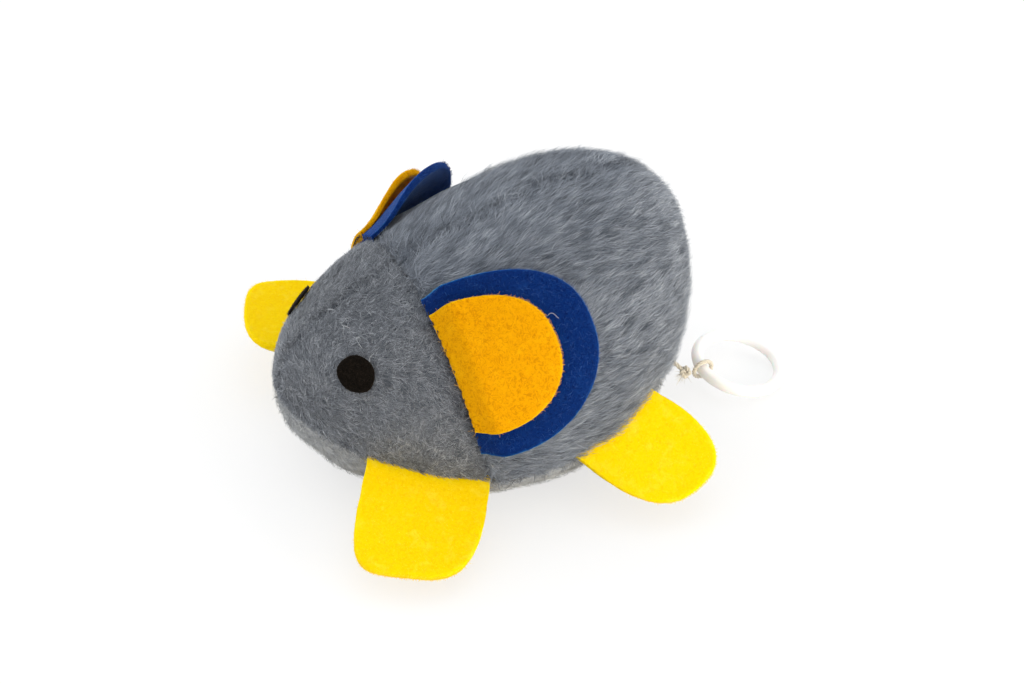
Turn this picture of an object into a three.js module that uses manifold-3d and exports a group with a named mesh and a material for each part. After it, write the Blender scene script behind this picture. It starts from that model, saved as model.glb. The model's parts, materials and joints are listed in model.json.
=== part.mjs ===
// A plush mouse with felt ears and feet, shaken by a pull-cord drum inside its body.
// Millimetres. Nose at -Y, tail at +Y, the mouse's left side at +X, belly on z = 0.
import * as THREE from 'three';
import { mergeVertices } from 'three/addons/utils/BufferGeometryUtils.js';
import Module from 'manifold-3d';

const wasm = await Module();
wasm.setup();

// Clearances
const SEAT_GAP = 0.3; // between pieces that rest on or in one another
const RUN_GAP = 0.3; // round turning shafts
const SEAM_GAP = 0.4; // between two sewn panels
const FILL_GAP = 0.8; // between the cover and its filling

// Stuffed body
const BODY_LENGTH = 104;
const BODY_HALF_WIDTH = 41.8;
const BACK_RISE = 45.5; // from the side line up to the back
const NOSE_HEIGHT = 23.9; // height of the side line at the nose
const SIDE_HEIGHT = 14.7; // height of the side line half way along
const RUMP_HEIGHT = 41.3; // height of the side line at the rear
const CHIN_LENGTH = 31.2; // from the nose to where the belly reaches the table
const RUMP_LENGTH = 35.4; // from where the belly leaves the table to the rear
const BELLY_FLAT_DEPTH = 0.5; // how far the belly is pressed flat on the table
const PLUSH = 2.2; // thickness of a plush panel
const WIDTH_SWELL = { front: 0.616, rear: 0.509 };
const BACK_SWELL = { front: 0.585, rear: 0.479 };
const BACK_FULLNESS = 2;
const BELLY_FULLNESS = 2.2;
const POLE = 0.0002; // share of the length left open at the nose and the rear

// Seams
const HEAD_SEAM_TOP = 31.2; // distance of the head seam from the nose, at the crown
const HEAD_SEAM_SIDE = 37.4; // and at the belly seam
const SEAM_ANGLE = THREE.MathUtils.degToRad(-3); // belly seam, below the widest line
const BELLY_ROUND_LENGTH = 18.7; // length of the belly panel's rounded rear end
const BELLY_SETBACK = 8.3; // from the belly panel's rear end to the rear

// Ears
const FELT = 1.8;
const EAR_REACH = 32.2; // from the seam to the tip of the outer flap
const EAR_INNER_REACH = 22.8;
const EAR_TOP = THREE.MathUtils.degToRad(67); // where the outer flap starts on the head seam
const EAR_BOTTOM = THREE.MathUtils.degToRad(11.5);
const EAR_INNER_TOP = THREE.MathUtils.degToRad(60);
const EAR_INNER_BOTTOM = THREE.MathUtils.degToRad(19.5);
const EAR_ROUNDNESS = 2.4;
const EAR_STANDOFF = 0.8; // from the flank to the outer flap
const EAR_FLAP_GAP = 0.6; // between the two flaps
const EAR_CURL = 1.3; // how far a flap's two ends stand farther off than its middle
const RIGHT_EAR_LIFT = THREE.MathUtils.degToRad(8);
const RIGHT_EAR_SPREAD = THREE.MathUtils.degToRad(3); // between the right ear's two flaps

// Eyes
const EYE_RADIUS = 4.4;
const EYE_THICKNESS = 0.8;
const EYE_FROM_NOSE = 14.3;
const EYE_ANGLE = THREE.MathUtils.degToRad(46.8);

// Feet: each is sewn into the belly seam over a stretch measured from the nose
const FRONT_FOOT_START = 13.1;
const FRONT_FOOT_WIDTH = 24.3;
const FRONT_FOOT_REACH = 27.7;
const REAR_FOOT_START = 59;
const REAR_FOOT_WIDTH = 22.3;
const REAR_FOOT_REACH = 23.6;
const FRONT_FOOT = {
  from: FRONT_FOOT_START,
  to: FRONT_FOOT_START + FRONT_FOOT_WIDTH,
  reach: FRONT_FOOT_REACH,
  squareness: 3.6,
};
const REAR_FOOT = {
  from: REAR_FOOT_START,
  to: REAR_FOOT_START + REAR_FOOT_WIDTH,
  reach: REAR_FOOT_REACH,
  squareness: 3.2,
};
// How far each foot hangs, and how far its tip swings toward the tail
const FOOT_POSES = {
  front_left: { foot: FRONT_FOOT, side: 1, drop: THREE.MathUtils.degToRad(18), lean: 0.6 },
  front_right: { foot: FRONT_FOOT, side: -1, drop: THREE.MathUtils.degToRad(6), lean: 8 },
  rear_left: { foot: REAR_FOOT, side: 1, drop: THREE.MathUtils.degToRad(34), lean: 4.4 },
  rear_right: { foot: REAR_FOOT, side: -1, drop: THREE.MathUtils.degToRad(30), lean: 4.4 },
};
const FOOT_STANDOFF = 0.5;
const FOOT_STEP = 0.05; // how finely a foot's sewn edge is fitted to the body
const FLAP_CORNER = 0.995; // share of its half width where an ear's or a foot's outline ends

// Sachet in the head
const SACHET_RADIUS = new THREE.Vector3(10, 6.5, 9);
const SACHET_FROM_NOSE = 24;
const SACHET_CENTRE = new THREE.Vector3(0, SACHET_FROM_NOSE - BODY_LENGTH / 2, 30);
const SACHET_MOUTH = 0.7; // share of the sachet that the opening behind it shows

// Shaker: its axles run sideways, its drum axle stands at this place
const DRUM_SHARE = 0.673; // of the body's length, from the nose to the drum's axle
const DRUM_PLACE = new THREE.Vector3(-2.4, (DRUM_SHARE - 0.5) * BODY_LENGTH, 25);
const GEAR_MODULE = 0.6;
const GEAR_PLAY = 0.16; // backlash on the pitch circle
const GEAR_ADDENDUM = 0.8 * GEAR_MODULE;
const GEAR_DEDENDUM = 1.1 * GEAR_MODULE;
const PRESSURE_ANGLE = THREE.MathUtils.degToRad(20);
const MOULD_SINK = 0.2; // how far one wheel runs into another that it is moulded with
const DRUM_TEETH = 40;
const IDLER_PINION_TEETH = 12;
const IDLER_TEETH = 32;
const SHAKER_TEETH = 12;
const IDLER_BEARING = THREE.MathUtils.degToRad(150); // direction from the drum to the idler
const SHAKER_BEARING = THREE.MathUtils.degToRad(230); // direction from the idler to the shaker
const CENTRE_EASE = 0.05; // added to each pair of gears' centre distance
const DRUM_AXLE_RADIUS = 1.5;
const SMALL_AXLE_RADIUS = 1;
const BARREL_RADIUS = 8;
const BARREL_WALL = 1.4;
const BARREL_WIDTH = 7.6;
const DRUM_RIM_WIDTH = 2.6;
const DRUM_CAP_RADIUS = 12.2;
const DRUM_CAP_WIDTH = 1.2;
const CORD_RADIUS = 0.6;
const SPRING_STRIP = 0.3;
const SPRING_TURNS = 5;
const IDLER_WIDTH = 2.4;
const PINION_WIDTH = 3.2;
const WEIGHT_RADIUS = 7.5;
const WEIGHT_HUB_RADIUS = 2.6;
const WEIGHT_WIDTH = 11;
const LAYER_GAP = 1; // sideways, between wheels that pass one another
const CASE_WALL = 1.6;
const CASE_CORNER = 3;
const CASE_EASE = 0.9; // from the wheels to the case
const SOCKET_DEPTH = 1; // of the axles in the case walls
const SCREW_RADIUS = 1;
const SCREW_HEAD_RADIUS = 1.9;
const SCREW_HEAD_HEIGHT = 0.8;
const SCREW_GRIP = 7; // length of thread in the left half
const BOSS_WALL = 1.1;
const BOSS_SINK = 0.5; // how far a boss stands in the wall beside it
const EYELET_WALL = 0.7;
const EYELET_FLANGE = 1.2;
const EYELET_LIP = 1;

// Cord outside the body and its ring
const CORD_EXIT_SETBACK = 8.7; // from the cord's hole to the rear
const CORD_EXIT = new THREE.Vector3(4.2, BODY_LENGTH / 2 - CORD_EXIT_SETBACK, 14);
const KNOT_RADIUS = 1.7;
const RING_FROM_EXIT = new THREE.Vector3(7.9, 23.6, -9.9);
const RING_PLACE = CORD_EXIT.clone().add(RING_FROM_EXIT);
const RING_NORMAL = new THREE.Vector3(0.148, 0.152, 0.977).normalize();
const RING_HELD_AT = new THREE.Vector3(0, -1, 0); // from the ring's middle to the cord's loop
const RING_RADIUS = 10.7; // to the middle of its tube
const RING_TUBE = 1.55;

// Look of each stuff in the model
const look = (color, roughness, metalness = 0) =>
  new THREE.MeshStandardMaterial({ color, roughness, metalness });
const LOOKS = {
  plush: look(0x787a7d, 1),
  blueFelt: look(0x12318a, 1),
  orangeFelt: look(0xe9a60a, 1),
  yellowFelt: look(0xfada0d, 1),
  darkFelt: look(0x14100c, 1),
  stuffing: look(0xf2efe8, 1),
  sachet: look(0xcfc6a8, 1),
  case: look(0xd9d9d6, 0.5),
  gear: look(0xf0ead8, 0.45),
  steel: look(0xb8babd, 0.3, 1),
  brass: look(0xc9a24a, 0.3, 1),
  cord: look(0xe6dfcf, 0.9),
  ring: look(0xf3f2ee, 0.35),
};

// Surface of the stuffed body: share runs from the nose to the rear, angle round the body from its left side
const swell = (share, { front, rear }) => {
  const peak = front / (front + rear);
  return (share / peak) ** front * ((1 - share) / (1 - peak)) ** rear;
};
const round = (t) => 1 - Math.sqrt(Math.max(0, 1 - t * t));
const sideLine = (share) =>
  NOSE_HEIGHT * (1 - share) * (1 - 2 * share) +
  SIDE_HEIGHT * 4 * share * (1 - share) +
  RUMP_HEIGHT * share * (2 * share - 1);
const bellyLine = (share) => {
  const fromNose = share * BODY_LENGTH;
  const chin = Math.max(0, 1 - fromNose / CHIN_LENGTH);
  const rump = Math.max(0, 1 - (BODY_LENGTH - fromNose) / RUMP_LENGTH);
  return NOSE_HEIGHT * round(chin) + RUMP_HEIGHT * round(rump) - BELLY_FLAT_DEPTH * (1 - chin) * (1 - rump);
};
const shareAt = (fromNose) => fromNose / BODY_LENGTH;
const bend = (value, fullness) => Math.sign(value) * Math.abs(value) ** (2 / fullness);

function skin(share, angle, inset = 0) {
  const width = (BODY_HALF_WIDTH - inset) * swell(share, WIDTH_SWELL);
  const fullness = angle < 0 && angle > -Math.PI ? BELLY_FULLNESS : BACK_FULLNESS;
  const across = bend(Math.cos(angle), fullness);
  const upward = bend(Math.sin(angle), fullness);
  const rise = (BACK_RISE - inset) * swell(share, BACK_SWELL);
  const shrink = 1 - (2 * inset) / BODY_LENGTH;
  const fall = (sideLine(share) - bellyLine(share)) * (1 - inset / SIDE_HEIGHT);
  const height = sideLine(share) + upward * (upward > 0 ? rise : fall);
  return new THREE.Vector3(width * across, (share - 0.5) * BODY_LENGTH * shrink, height);
}

function skinFrame(share, angle) {
  const step = 1e-4;
  const along = skin(share + step, angle).sub(skin(share - step, angle)).normalize();
  const around = skin(share, angle + step).sub(skin(share, angle - step)).normalize();
  return { along, around, normal: new THREE.Vector3().crossVectors(around, along).negate().normalize() };
}

function insideSkin({ x, y, z }) {
  const share = y / BODY_LENGTH + 0.5;
  const above = z - sideLine(share);
  const fullness = above > 0 ? BACK_FULLNESS : BELLY_FULLNESS;
  const height = above > 0 ? BACK_RISE * swell(share, BACK_SWELL) : sideLine(share) - bellyLine(share);
  const width = BODY_HALF_WIDTH * swell(share, WIDTH_SWELL);
  return Math.abs(x / width) ** fullness + Math.abs(above / height) ** fullness < 1;
}

// Seams on that surface
const headSeam = (angle) => {
  const down = Math.min(1, (Math.PI / 2 - angle) / (Math.PI / 2 - SEAM_ANGLE));
  return shareAt(HEAD_SEAM_TOP + (HEAD_SEAM_SIDE - HEAD_SEAM_TOP) * down * down);
};
const bellySeam = (share) => {
  const end = shareAt(BODY_LENGTH - BELLY_SETBACK);
  const along = Math.max(0, (share - end) / shareAt(BELLY_ROUND_LENGTH) + 1);
  const open = Math.sqrt(Math.max(0, 1 - along * along));
  return -Math.PI / 2 + (SEAM_ANGLE + Math.PI / 2) * open;
};

// Closed solids from grids of points
function solidOf(points, faces) {
  const geometry = new THREE.BufferGeometry();
  const places = points.flatMap((p) => [p.x, p.y, p.z]);
  geometry.setAttribute('position', new THREE.Float32BufferAttribute(places, 3));
  let volume = 0;
  for (const [a, b, c] of faces) {
    volume += points[a].dot(new THREE.Vector3().crossVectors(points[b], points[c]));
  }
  geometry.setIndex(faces.flatMap(([a, b, c]) => (volume > 0 ? [a, b, c] : [a, c, b])));
  return geometry;
}

// A sheet with an outer and an inner face, each given at (u, v) from 0 to 1
function sheetSolid(rows, columns, outer, inner) {
  const points = [];
  const faces = [];
  const at = (layer, i, j) => (layer * (rows + 1) + i) * (columns + 1) + j;
  const quad = (a, b, c, d) => faces.push([a, b, c], [a, c, d]);
  for (const face of [outer, inner]) {
    for (let i = 0; i <= rows; i += 1) {
      for (let j = 0; j <= columns; j += 1) {
        points.push(face(i / rows, j / columns));
      }
    }
  }
  for (let i = 0; i < rows; i += 1) {
    for (let j = 0; j < columns; j += 1) {
      quad(at(0, i, j), at(0, i + 1, j), at(0, i + 1, j + 1), at(0, i, j + 1));
      quad(at(1, i, j), at(1, i, j + 1), at(1, i + 1, j + 1), at(1, i + 1, j));
    }
    quad(at(0, i, 0), at(1, i, 0), at(1, i + 1, 0), at(0, i + 1, 0));
    quad(at(0, i, columns), at(0, i + 1, columns), at(1, i + 1, columns), at(1, i, columns));
  }
  for (let j = 0; j < columns; j += 1) {
    quad(at(0, 0, j), at(0, 0, j + 1), at(1, 0, j + 1), at(1, 0, j));
    quad(at(0, rows, j), at(1, rows, j), at(1, rows, j + 1), at(0, rows, j + 1));
  }
  return solidOf(points, faces);
}

// A solid through closed rings of points, with a flat fan at each end
function ringSolid(rings, sides, at) {
  const points = [];
  const faces = [];
  for (let i = 0; i <= rings; i += 1) {
    for (let j = 0; j < sides; j += 1) {
      points.push(at(i / rings, (j / sides) * Math.PI * 2));
    }
  }
  for (let i = 0; i < rings; i += 1) {
    for (let j = 0; j < sides; j += 1) {
      const next = (j + 1) % sides;
      const [a, b, c, d] = [i * sides + j, i * sides + next, (i + 1) * sides + next, (i + 1) * sides + j];
      faces.push([a, b, c], [a, c, d]);
    }
  }
  for (const ring of [0, rings]) {
    const middle = new THREE.Vector3();
    for (let j = 0; j < sides; j += 1) {
      middle.addScaledVector(points[ring * sides + j], 1 / sides);
    }
    points.push(middle);
    for (let j = 0; j < sides; j += 1) {
      const edge = [ring * sides + j, ring * sides + ((j + 1) % sides)];
      faces.push([points.length - 1, edge[ring ? 0 : 1], edge[ring ? 1 : 0]]);
    }
  }
  return solidOf(points, faces);
}

// Joins and cuts
function toManifold(geometry) {
  const bare = new THREE.BufferGeometry();
  bare.setAttribute('position', geometry.getAttribute('position').clone());
  if (geometry.index) bare.setIndex(geometry.index.clone());
  const merged = mergeVertices(bare, 1e-4);
  const vertProperties = new Float32Array(merged.getAttribute('position').array);
  const triVerts = new Uint32Array(merged.index.array);
  return new wasm.Manifold(new wasm.Mesh({ numProp: 3, vertProperties, triVerts }));
}
function fromManifold(solid) {
  const { vertProperties, triVerts, numProp } = solid.getMesh();
  const geometry = new THREE.BufferGeometry();
  const places = [];
  for (let i = 0; i < vertProperties.length; i += numProp) {
    places.push(vertProperties[i], vertProperties[i + 1], vertProperties[i + 2]);
  }
  geometry.setAttribute('position', new THREE.Float32BufferAttribute(places, 3));
  geometry.setIndex(Array.from(triVerts));
  return geometry;
}
const join = (...shapes) => fromManifold(shapes.map(toManifold).reduce((a, b) => a.add(b)));
const cut = (shape, ...tools) =>
  fromManifold(tools.map(toManifold).reduce((a, b) => a.subtract(b), toManifold(shape)));

// Plain shapes
const mirrored = (geometry) => {
  const copy = geometry.clone().scale(-1, 1, 1);
  const index = Array.from(copy.index.array);
  for (let i = 0; i < index.length; i += 3) {
    [index[i + 1], index[i + 2]] = [index[i + 2], index[i + 1]];
  }
  copy.setIndex(index);
  return copy;
};
const mirroredVector = (v) => new THREE.Vector3(-v.x, v.y, v.z);
function turned(geometry, { point, axis }, angle) {
  const turn = new THREE.Matrix4().makeRotationAxis(axis, angle);
  const there = new THREE.Matrix4().makeTranslation(point);
  const back = there.clone().invert();
  return geometry.clone().applyMatrix4(there.multiply(turn).multiply(back));
}
const extruded = (shape, depth, from = 0, curveSegments = 8) =>
  new THREE.ExtrudeGeometry(shape, { depth, bevelEnabled: false, curveSegments }).translate(0, 0, from);
function disc(radius, width, from, u, v, sides) {
  const upright = new THREE.CylinderGeometry(radius, radius, width, sides);
  return upright.rotateX(Math.PI / 2).translate(u, v, from + width / 2);
}
function annulus(outer, inner, width, from, sides = 28) {
  const shape = new THREE.Shape().absarc(0, 0, outer, 0, Math.PI * 2);
  shape.holes.push(new THREE.Path().absarc(0, 0, inner, 0, Math.PI * 2));
  return extruded(shape, width, from, sides / 2);
}
function tube(places, radius, sides = 8) {
  const route = places.length > 2 ? new THREE.CatmullRomCurve3(places) : new THREE.LineCurve3(...places);
  const section = new THREE.Shape();
  for (let i = 0; i < sides; i += 1) {
    const angle = (i / sides) * Math.PI * 2;
    section[i ? 'lineTo' : 'moveTo'](radius * Math.cos(angle), radius * Math.sin(angle));
  }
  const steps = Math.max(1, Math.round(route.getLength() / (radius * 5)));
  return new THREE.ExtrudeGeometry(section, { steps, extrudePath: route, bevelEnabled: false });
}

const mouse = new THREE.Group();
const hinges = {}; // the line that each moving piece turns about
function put(name, geometry, material, parent = mouse) {
  const mesh = new THREE.Mesh(geometry, material);
  mesh.name = name;
  parent.add(mesh);
  return mesh;
}

// Cover: two head panels, two flank panels and the belly
const seamShare = SEAM_GAP / 2 / BODY_LENGTH;
const seamTurn = SEAM_GAP / 2 / BODY_HALF_WIDTH;
const headRows = 9;
const bellyRows = 12;
const rumpRows = 5;
const panelColumns = 10;
const bellyColumns = 14;
const bellyEnd = shareAt(BODY_LENGTH - BELLY_SETBACK);
const headShare = (u, angle) => POLE + (headSeam(angle) - seamShare - POLE) * u * u;
const flankShare = (row, angle) => {
  const start = headSeam(angle) + seamShare;
  if (row <= bellyRows) return start + (bellyEnd - start) * Math.sin(((row / bellyRows) * Math.PI) / 2);
  const left = 1 - (row - bellyRows) / rumpRows;
  return 1 - POLE - (1 - POLE - bellyEnd) * left * left;
};

function headPanel(inset) {
  return (u, v) => {
    const low = SEAM_ANGLE + seamTurn;
    const angle = low + (Math.PI / 2 - seamTurn - low) * v;
    return skin(headShare(u, angle), angle, inset);
  };
}
function flankPanel(inset) {
  return (u, v) => {
    const row = u * (bellyRows + rumpRows);
    const low = bellySeam(flankShare(row, SEAM_ANGLE)) + seamTurn;
    const angle = low + (Math.PI / 2 - seamTurn - low) * v;
    return skin(flankShare(row, angle), angle, inset);
  };
}
function bellyPanel(inset) {
  const last = headRows + bellyRows - 1;
  return (u, v) => {
    const row = u * last;
    const behind = row - headRows;
    const share = behind > 0 ? flankShare(behind, SEAM_ANGLE) : headShare(row / headRows, SEAM_ANGLE);
    const edge = bellySeam(share) - seamTurn;
    return skin(share, edge + (-Math.PI - 2 * edge) * v, inset);
  };
}

// Shaker, drawn in its own plane: u rearward, v upward, w to the mouse's left
const gearRadius = (teeth) => (teeth * GEAR_MODULE) / 2;
const involute = (angle) => Math.tan(angle) - angle;

function gearShape(teeth, toothAt, bore) {
  const pitch = gearRadius(teeth);
  const base = pitch * Math.cos(PRESSURE_ANGLE);
  const tip = pitch + GEAR_ADDENDUM;
  const root = pitch - GEAR_DEDENDUM;
  const halfTooth = Math.PI / 2 / teeth - GEAR_PLAY / 2 / pitch;
  const halfAt = (radius) => {
    const roll = Math.acos(Math.min(1, base / Math.max(base, radius)));
    return halfTooth + involute(PRESSURE_ANGLE) - involute(roll);
  };
  const shape = new THREE.Shape();
  const radii = root < base ? [root, base, pitch, tip] : [root, pitch, tip];
  for (let i = 0; i < teeth; i += 1) {
    const middle = toothAt + (i / teeth) * Math.PI * 2;
    const flank = radii.map((radius) => [radius, middle - halfAt(radius)]);
    const other = radii.map((radius) => [radius, middle + halfAt(radius)]).reverse();
    for (const [radius, angle] of [...flank, ...other]) {
      const move = shape.curves.length || shape.currentPoint.length() ? 'lineTo' : 'moveTo';
      shape[move](radius * Math.cos(angle), radius * Math.sin(angle));
    }
  }
  shape.closePath();
  shape.holes.push(new THREE.Path().absarc(0, 0, bore, 0, Math.PI * 2));
  return shape;
}

const idlerReach = gearRadius(DRUM_TEETH) + gearRadius(IDLER_PINION_TEETH) + CENTRE_EASE;
const shakerReach = gearRadius(IDLER_TEETH) + gearRadius(SHAKER_TEETH) + CENTRE_EASE;
const polar = (reach, bearing) => new THREE.Vector2(reach * Math.cos(bearing), reach * Math.sin(bearing));
const idlerPlace = polar(idlerReach, IDLER_BEARING);
const shakerPlace = idlerPlace.clone().add(polar(shakerReach, SHAKER_BEARING));

// Layers from the drum's gear rim outward to both sides
const rimTop = DRUM_RIM_WIDTH / 2;
const rimBottom = -DRUM_RIM_WIDTH / 2;
const barrelTop = rimTop + BARREL_WIDTH;
const capBottom = barrelTop + SEAT_GAP;
const capTop = capBottom + DRUM_CAP_WIDTH;
const idlerTop = rimBottom - LAYER_GAP;
const idlerBottom = idlerTop - IDLER_WIDTH;
const shakerPinionBottom = (idlerTop + idlerBottom) / 2 - PINION_WIDTH / 2;
const weightBottom = shakerPinionBottom + PINION_WIDTH + SEAT_GAP;
const weightTop = weightBottom + WEIGHT_WIDTH;
const caseTop = Math.max(capTop, weightTop) + CASE_EASE;
const caseBottom = shakerPinionBottom - CASE_EASE;
const windingRadius = BARREL_RADIUS + SEAT_GAP + CORD_RADIUS;
const cordLayer = (rimTop + barrelTop) / 2;

// Case outline round the wheels
const drumTip = gearRadius(DRUM_TEETH) + GEAR_ADDENDUM;
const idlerTip = gearRadius(IDLER_TEETH) + GEAR_ADDENDUM;
const inside = {
  front: shakerPlace.x - WEIGHT_RADIUS - CASE_EASE,
  rear: Math.max(drumTip, DRUM_CAP_RADIUS) + CASE_EASE,
  bottom: Math.min(-drumTip, shakerPlace.y - WEIGHT_RADIUS) - CASE_EASE,
  top: Math.max(idlerPlace.y + idlerTip, drumTip) + CASE_EASE,
};
function caseOutline(grow) {
  const shape = new THREE.Shape();
  const [x0, x1] = [inside.front - grow, inside.rear + grow];
  const [y0, y1] = [inside.bottom - grow, inside.top + grow];
  const r = CASE_CORNER - CASE_WALL + grow;
  shape.moveTo(x0 + r, y0);
  shape.lineTo(x1 - r, y0);
  shape.absarc(x1 - r, y0 + r, r, -Math.PI / 2, 0);
  shape.lineTo(x1, y1 - r);
  shape.absarc(x1 - r, y1 - r, r, 0, Math.PI / 2);
  shape.lineTo(x0 + r, y1);
  shape.absarc(x0 + r, y1 - r, r, Math.PI / 2, Math.PI);
  shape.lineTo(x0, y0 + r);
  shape.absarc(x0 + r, y0 + r, r, Math.PI, Math.PI * 1.5);
  return shape;
}

const shaker = new THREE.Group();
shaker.position.copy(DRUM_PLACE);
const leftward = new THREE.Vector3(1, 0, 0);
const rearward = new THREE.Vector3(0, 1, 0);
const upward = new THREE.Vector3(0, 0, 1);
shaker.quaternion.setFromRotationMatrix(new THREE.Matrix4().makeBasis(rearward, upward, leftward));
mouse.add(shaker);
shaker.updateMatrixWorld(true);
const inBody = (u, v, w) => shaker.localToWorld(new THREE.Vector3(u, v, w));

const caseMiddle = (caseTop + caseBottom) / 2;
const bossRadius = SCREW_RADIUS + RUN_GAP + BOSS_WALL;
const bossSet = bossRadius - BOSS_SINK; // from the case's inner walls to a boss's middle
// Along the case's floor, where the drum and the weight sweep closest to one another
const betweenWheels = (shakerPlace.x * drumTip) / (drumTip + WEIGHT_RADIUS);
const screwPlaces = [
  [inside.rear - bossSet, inside.top - bossSet],
  [inside.front + bossSet, inside.top - bossSet],
  [inside.front + bossSet, inside.bottom + bossSet],
  [betweenWheels, inside.bottom + bossSet],
];
const axles = [
  { place: new THREE.Vector2(0, 0), radius: DRUM_AXLE_RADIUS },
  { place: idlerPlace, radius: SMALL_AXLE_RADIUS },
  { place: shakerPlace, radius: SMALL_AXLE_RADIUS },
];
function axle({ place, radius }, inset, gap) {
  const length = caseTop - caseBottom + 2 * (SOCKET_DEPTH - inset);
  return disc(radius + gap, length, caseBottom - SOCKET_DEPTH + inset, place.x, place.y, 12);
}
const axleSockets = axles.map((each) => axle(each, 0, RUN_GAP));
const [drumAxle, idlerAxle, shakerShaft] = axles.map((each) => axle(each, SEAT_GAP, 0));
const screwHeadBottom = caseBottom - CASE_WALL;
const screwNeck = screwHeadBottom + SCREW_HEAD_HEIGHT;
const screwTip = caseMiddle + SCREW_GRIP;
const screwHoles = screwPlaces.flatMap(([u, v]) => [
  disc(SCREW_RADIUS + RUN_GAP, screwTip + SEAT_GAP - screwNeck, screwNeck, u, v, 8),
  disc(SCREW_HEAD_RADIUS + RUN_GAP, SCREW_HEAD_HEIGHT + SEAT_GAP, screwHeadBottom, u, v, 12),
]);

const eyeletBore = CORD_RADIUS + RUN_GAP;
const eyeletRadius = eyeletBore + EYELET_WALL;
const alongCord = (geometry, u) => geometry.rotateY(Math.PI / 2).translate(u, -windingRadius, cordLayer);
const eyeletHole = alongCord(disc(eyeletRadius + SEAT_GAP, CASE_WALL * 3, -CASE_WALL, 0, 0, 12), inside.rear);

// One half: a tray with its floor at one end, open at the case's middle
function caseHalf(floor, mouth) {
  const outward = Math.sign(floor - mouth);
  const span = (from, to) => [Math.abs(to - from), Math.min(from, to)];
  const block = extruded(caseOutline(CASE_WALL), ...span(floor + outward * CASE_WALL, mouth), 4);
  const cavity = extruded(caseOutline(0), ...span(floor, mouth - outward * CASE_WALL), 4);
  const bosses = screwPlaces.map(([u, v]) =>
    disc(bossRadius, ...span(floor + outward * BOSS_SINK, mouth + outward * BOSS_SINK), u, v, 12),
  );
  return cut(join(cut(block, cavity), ...bosses), ...axleSockets, ...screwHoles, eyeletHole);
}
put('case_left', caseHalf(caseTop, caseMiddle + SEAT_GAP / 2), LOOKS.case, shaker);
put('case_right', caseHalf(caseBottom, caseMiddle - SEAT_GAP / 2), LOOKS.case, shaker);
screwPlaces.forEach(([u, v], i) => {
  const profile = [
    [0, screwHeadBottom],
    [SCREW_HEAD_RADIUS, screwHeadBottom],
    [SCREW_HEAD_RADIUS, screwNeck],
    [SCREW_RADIUS, screwNeck],
    [SCREW_RADIUS, screwTip],
    [0, screwTip],
  ].map(([x, y]) => new THREE.Vector2(x, y));
  const screw = new THREE.LatheGeometry(profile, 8).rotateX(Math.PI / 2).translate(u, v, 0);
  put(`case_screw_${i + 1}`, screw, LOOKS.steel, shaker);
});

const eyeletProfile = [
  [eyeletBore, -CASE_WALL],
  [eyeletRadius, -CASE_WALL],
  [eyeletRadius, SEAT_GAP],
  [eyeletRadius + EYELET_FLANGE, SEAT_GAP],
  [eyeletRadius + EYELET_FLANGE, SEAT_GAP + EYELET_LIP],
  [eyeletBore, SEAT_GAP + EYELET_LIP],
  [eyeletBore, -CASE_WALL],
].map(([x, y]) => new THREE.Vector2(x, y));
const eyelet = new THREE.LatheGeometry(eyeletProfile, 12).rotateX(Math.PI / 2);
put('cord_eyelet', alongCord(eyelet, inside.rear + CASE_WALL), LOOKS.brass, shaker);

const drumBore = DRUM_AXLE_RADIUS + RUN_GAP;
const drumRim = extruded(gearShape(DRUM_TEETH, IDLER_BEARING, drumBore), DRUM_RIM_WIDTH, rimBottom, 6);
const barrelBore = BARREL_RADIUS - BARREL_WALL;
const barrel = annulus(BARREL_RADIUS, barrelBore, BARREL_WIDTH + MOULD_SINK, rimTop - MOULD_SINK);
put('cord_drum', join(drumRim, barrel), LOOKS.gear, shaker);
put('drum_cap', annulus(DRUM_CAP_RADIUS, drumBore, DRUM_CAP_WIDTH, capBottom), LOOKS.gear, shaker);
put('drum_axle', drumAxle, LOOKS.steel, shaker);
const windingInside = windingRadius - CORD_RADIUS;
const windingOutside = windingRadius + CORD_RADIUS;
const coilWidth = BARREL_WIDTH - 2 * SEAT_GAP;
put('cord_winding', annulus(windingOutside, windingInside, coilWidth, rimTop + SEAT_GAP), LOOKS.cord, shaker);

function mainspring() {
  const first = DRUM_AXLE_RADIUS + SEAT_GAP;
  const last = barrelBore - SEAT_GAP - SPRING_STRIP;
  const steps = SPRING_TURNS * 16;
  const shape = new THREE.Shape();
  for (const [offset, order] of [[0, 1], [SPRING_STRIP, -1]]) {
    for (let i = 0; i <= steps; i += 1) {
      const t = (order > 0 ? i : steps - i) / steps;
      const radius = first + (last - first) * t + offset;
      const angle = t * SPRING_TURNS * Math.PI * 2;
      shape[offset || i ? 'lineTo' : 'moveTo'](radius * Math.cos(angle), radius * Math.sin(angle));
    }
  }
  return extruded(shape, coilWidth, rimTop + SEAT_GAP);
}
put('mainspring', mainspring(), LOOKS.steel, shaker);

const smallBore = SMALL_AXLE_RADIUS + RUN_GAP;
const idlerPinion = extruded(
  gearShape(IDLER_PINION_TEETH, IDLER_BEARING + Math.PI + Math.PI / IDLER_PINION_TEETH, smallBore),
  rimTop + SEAT_GAP - idlerTop + MOULD_SINK,
  idlerTop - MOULD_SINK,
  4,
);
const idlerWheel = extruded(gearShape(IDLER_TEETH, SHAKER_BEARING, smallBore), IDLER_WIDTH, idlerBottom, 4);
const idler = join(idlerPinion, idlerWheel).translate(idlerPlace.x, idlerPlace.y, 0);
put('idler_wheel', idler, LOOKS.gear, shaker);
put('idler_axle', idlerAxle, LOOKS.steel, shaker);

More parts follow.
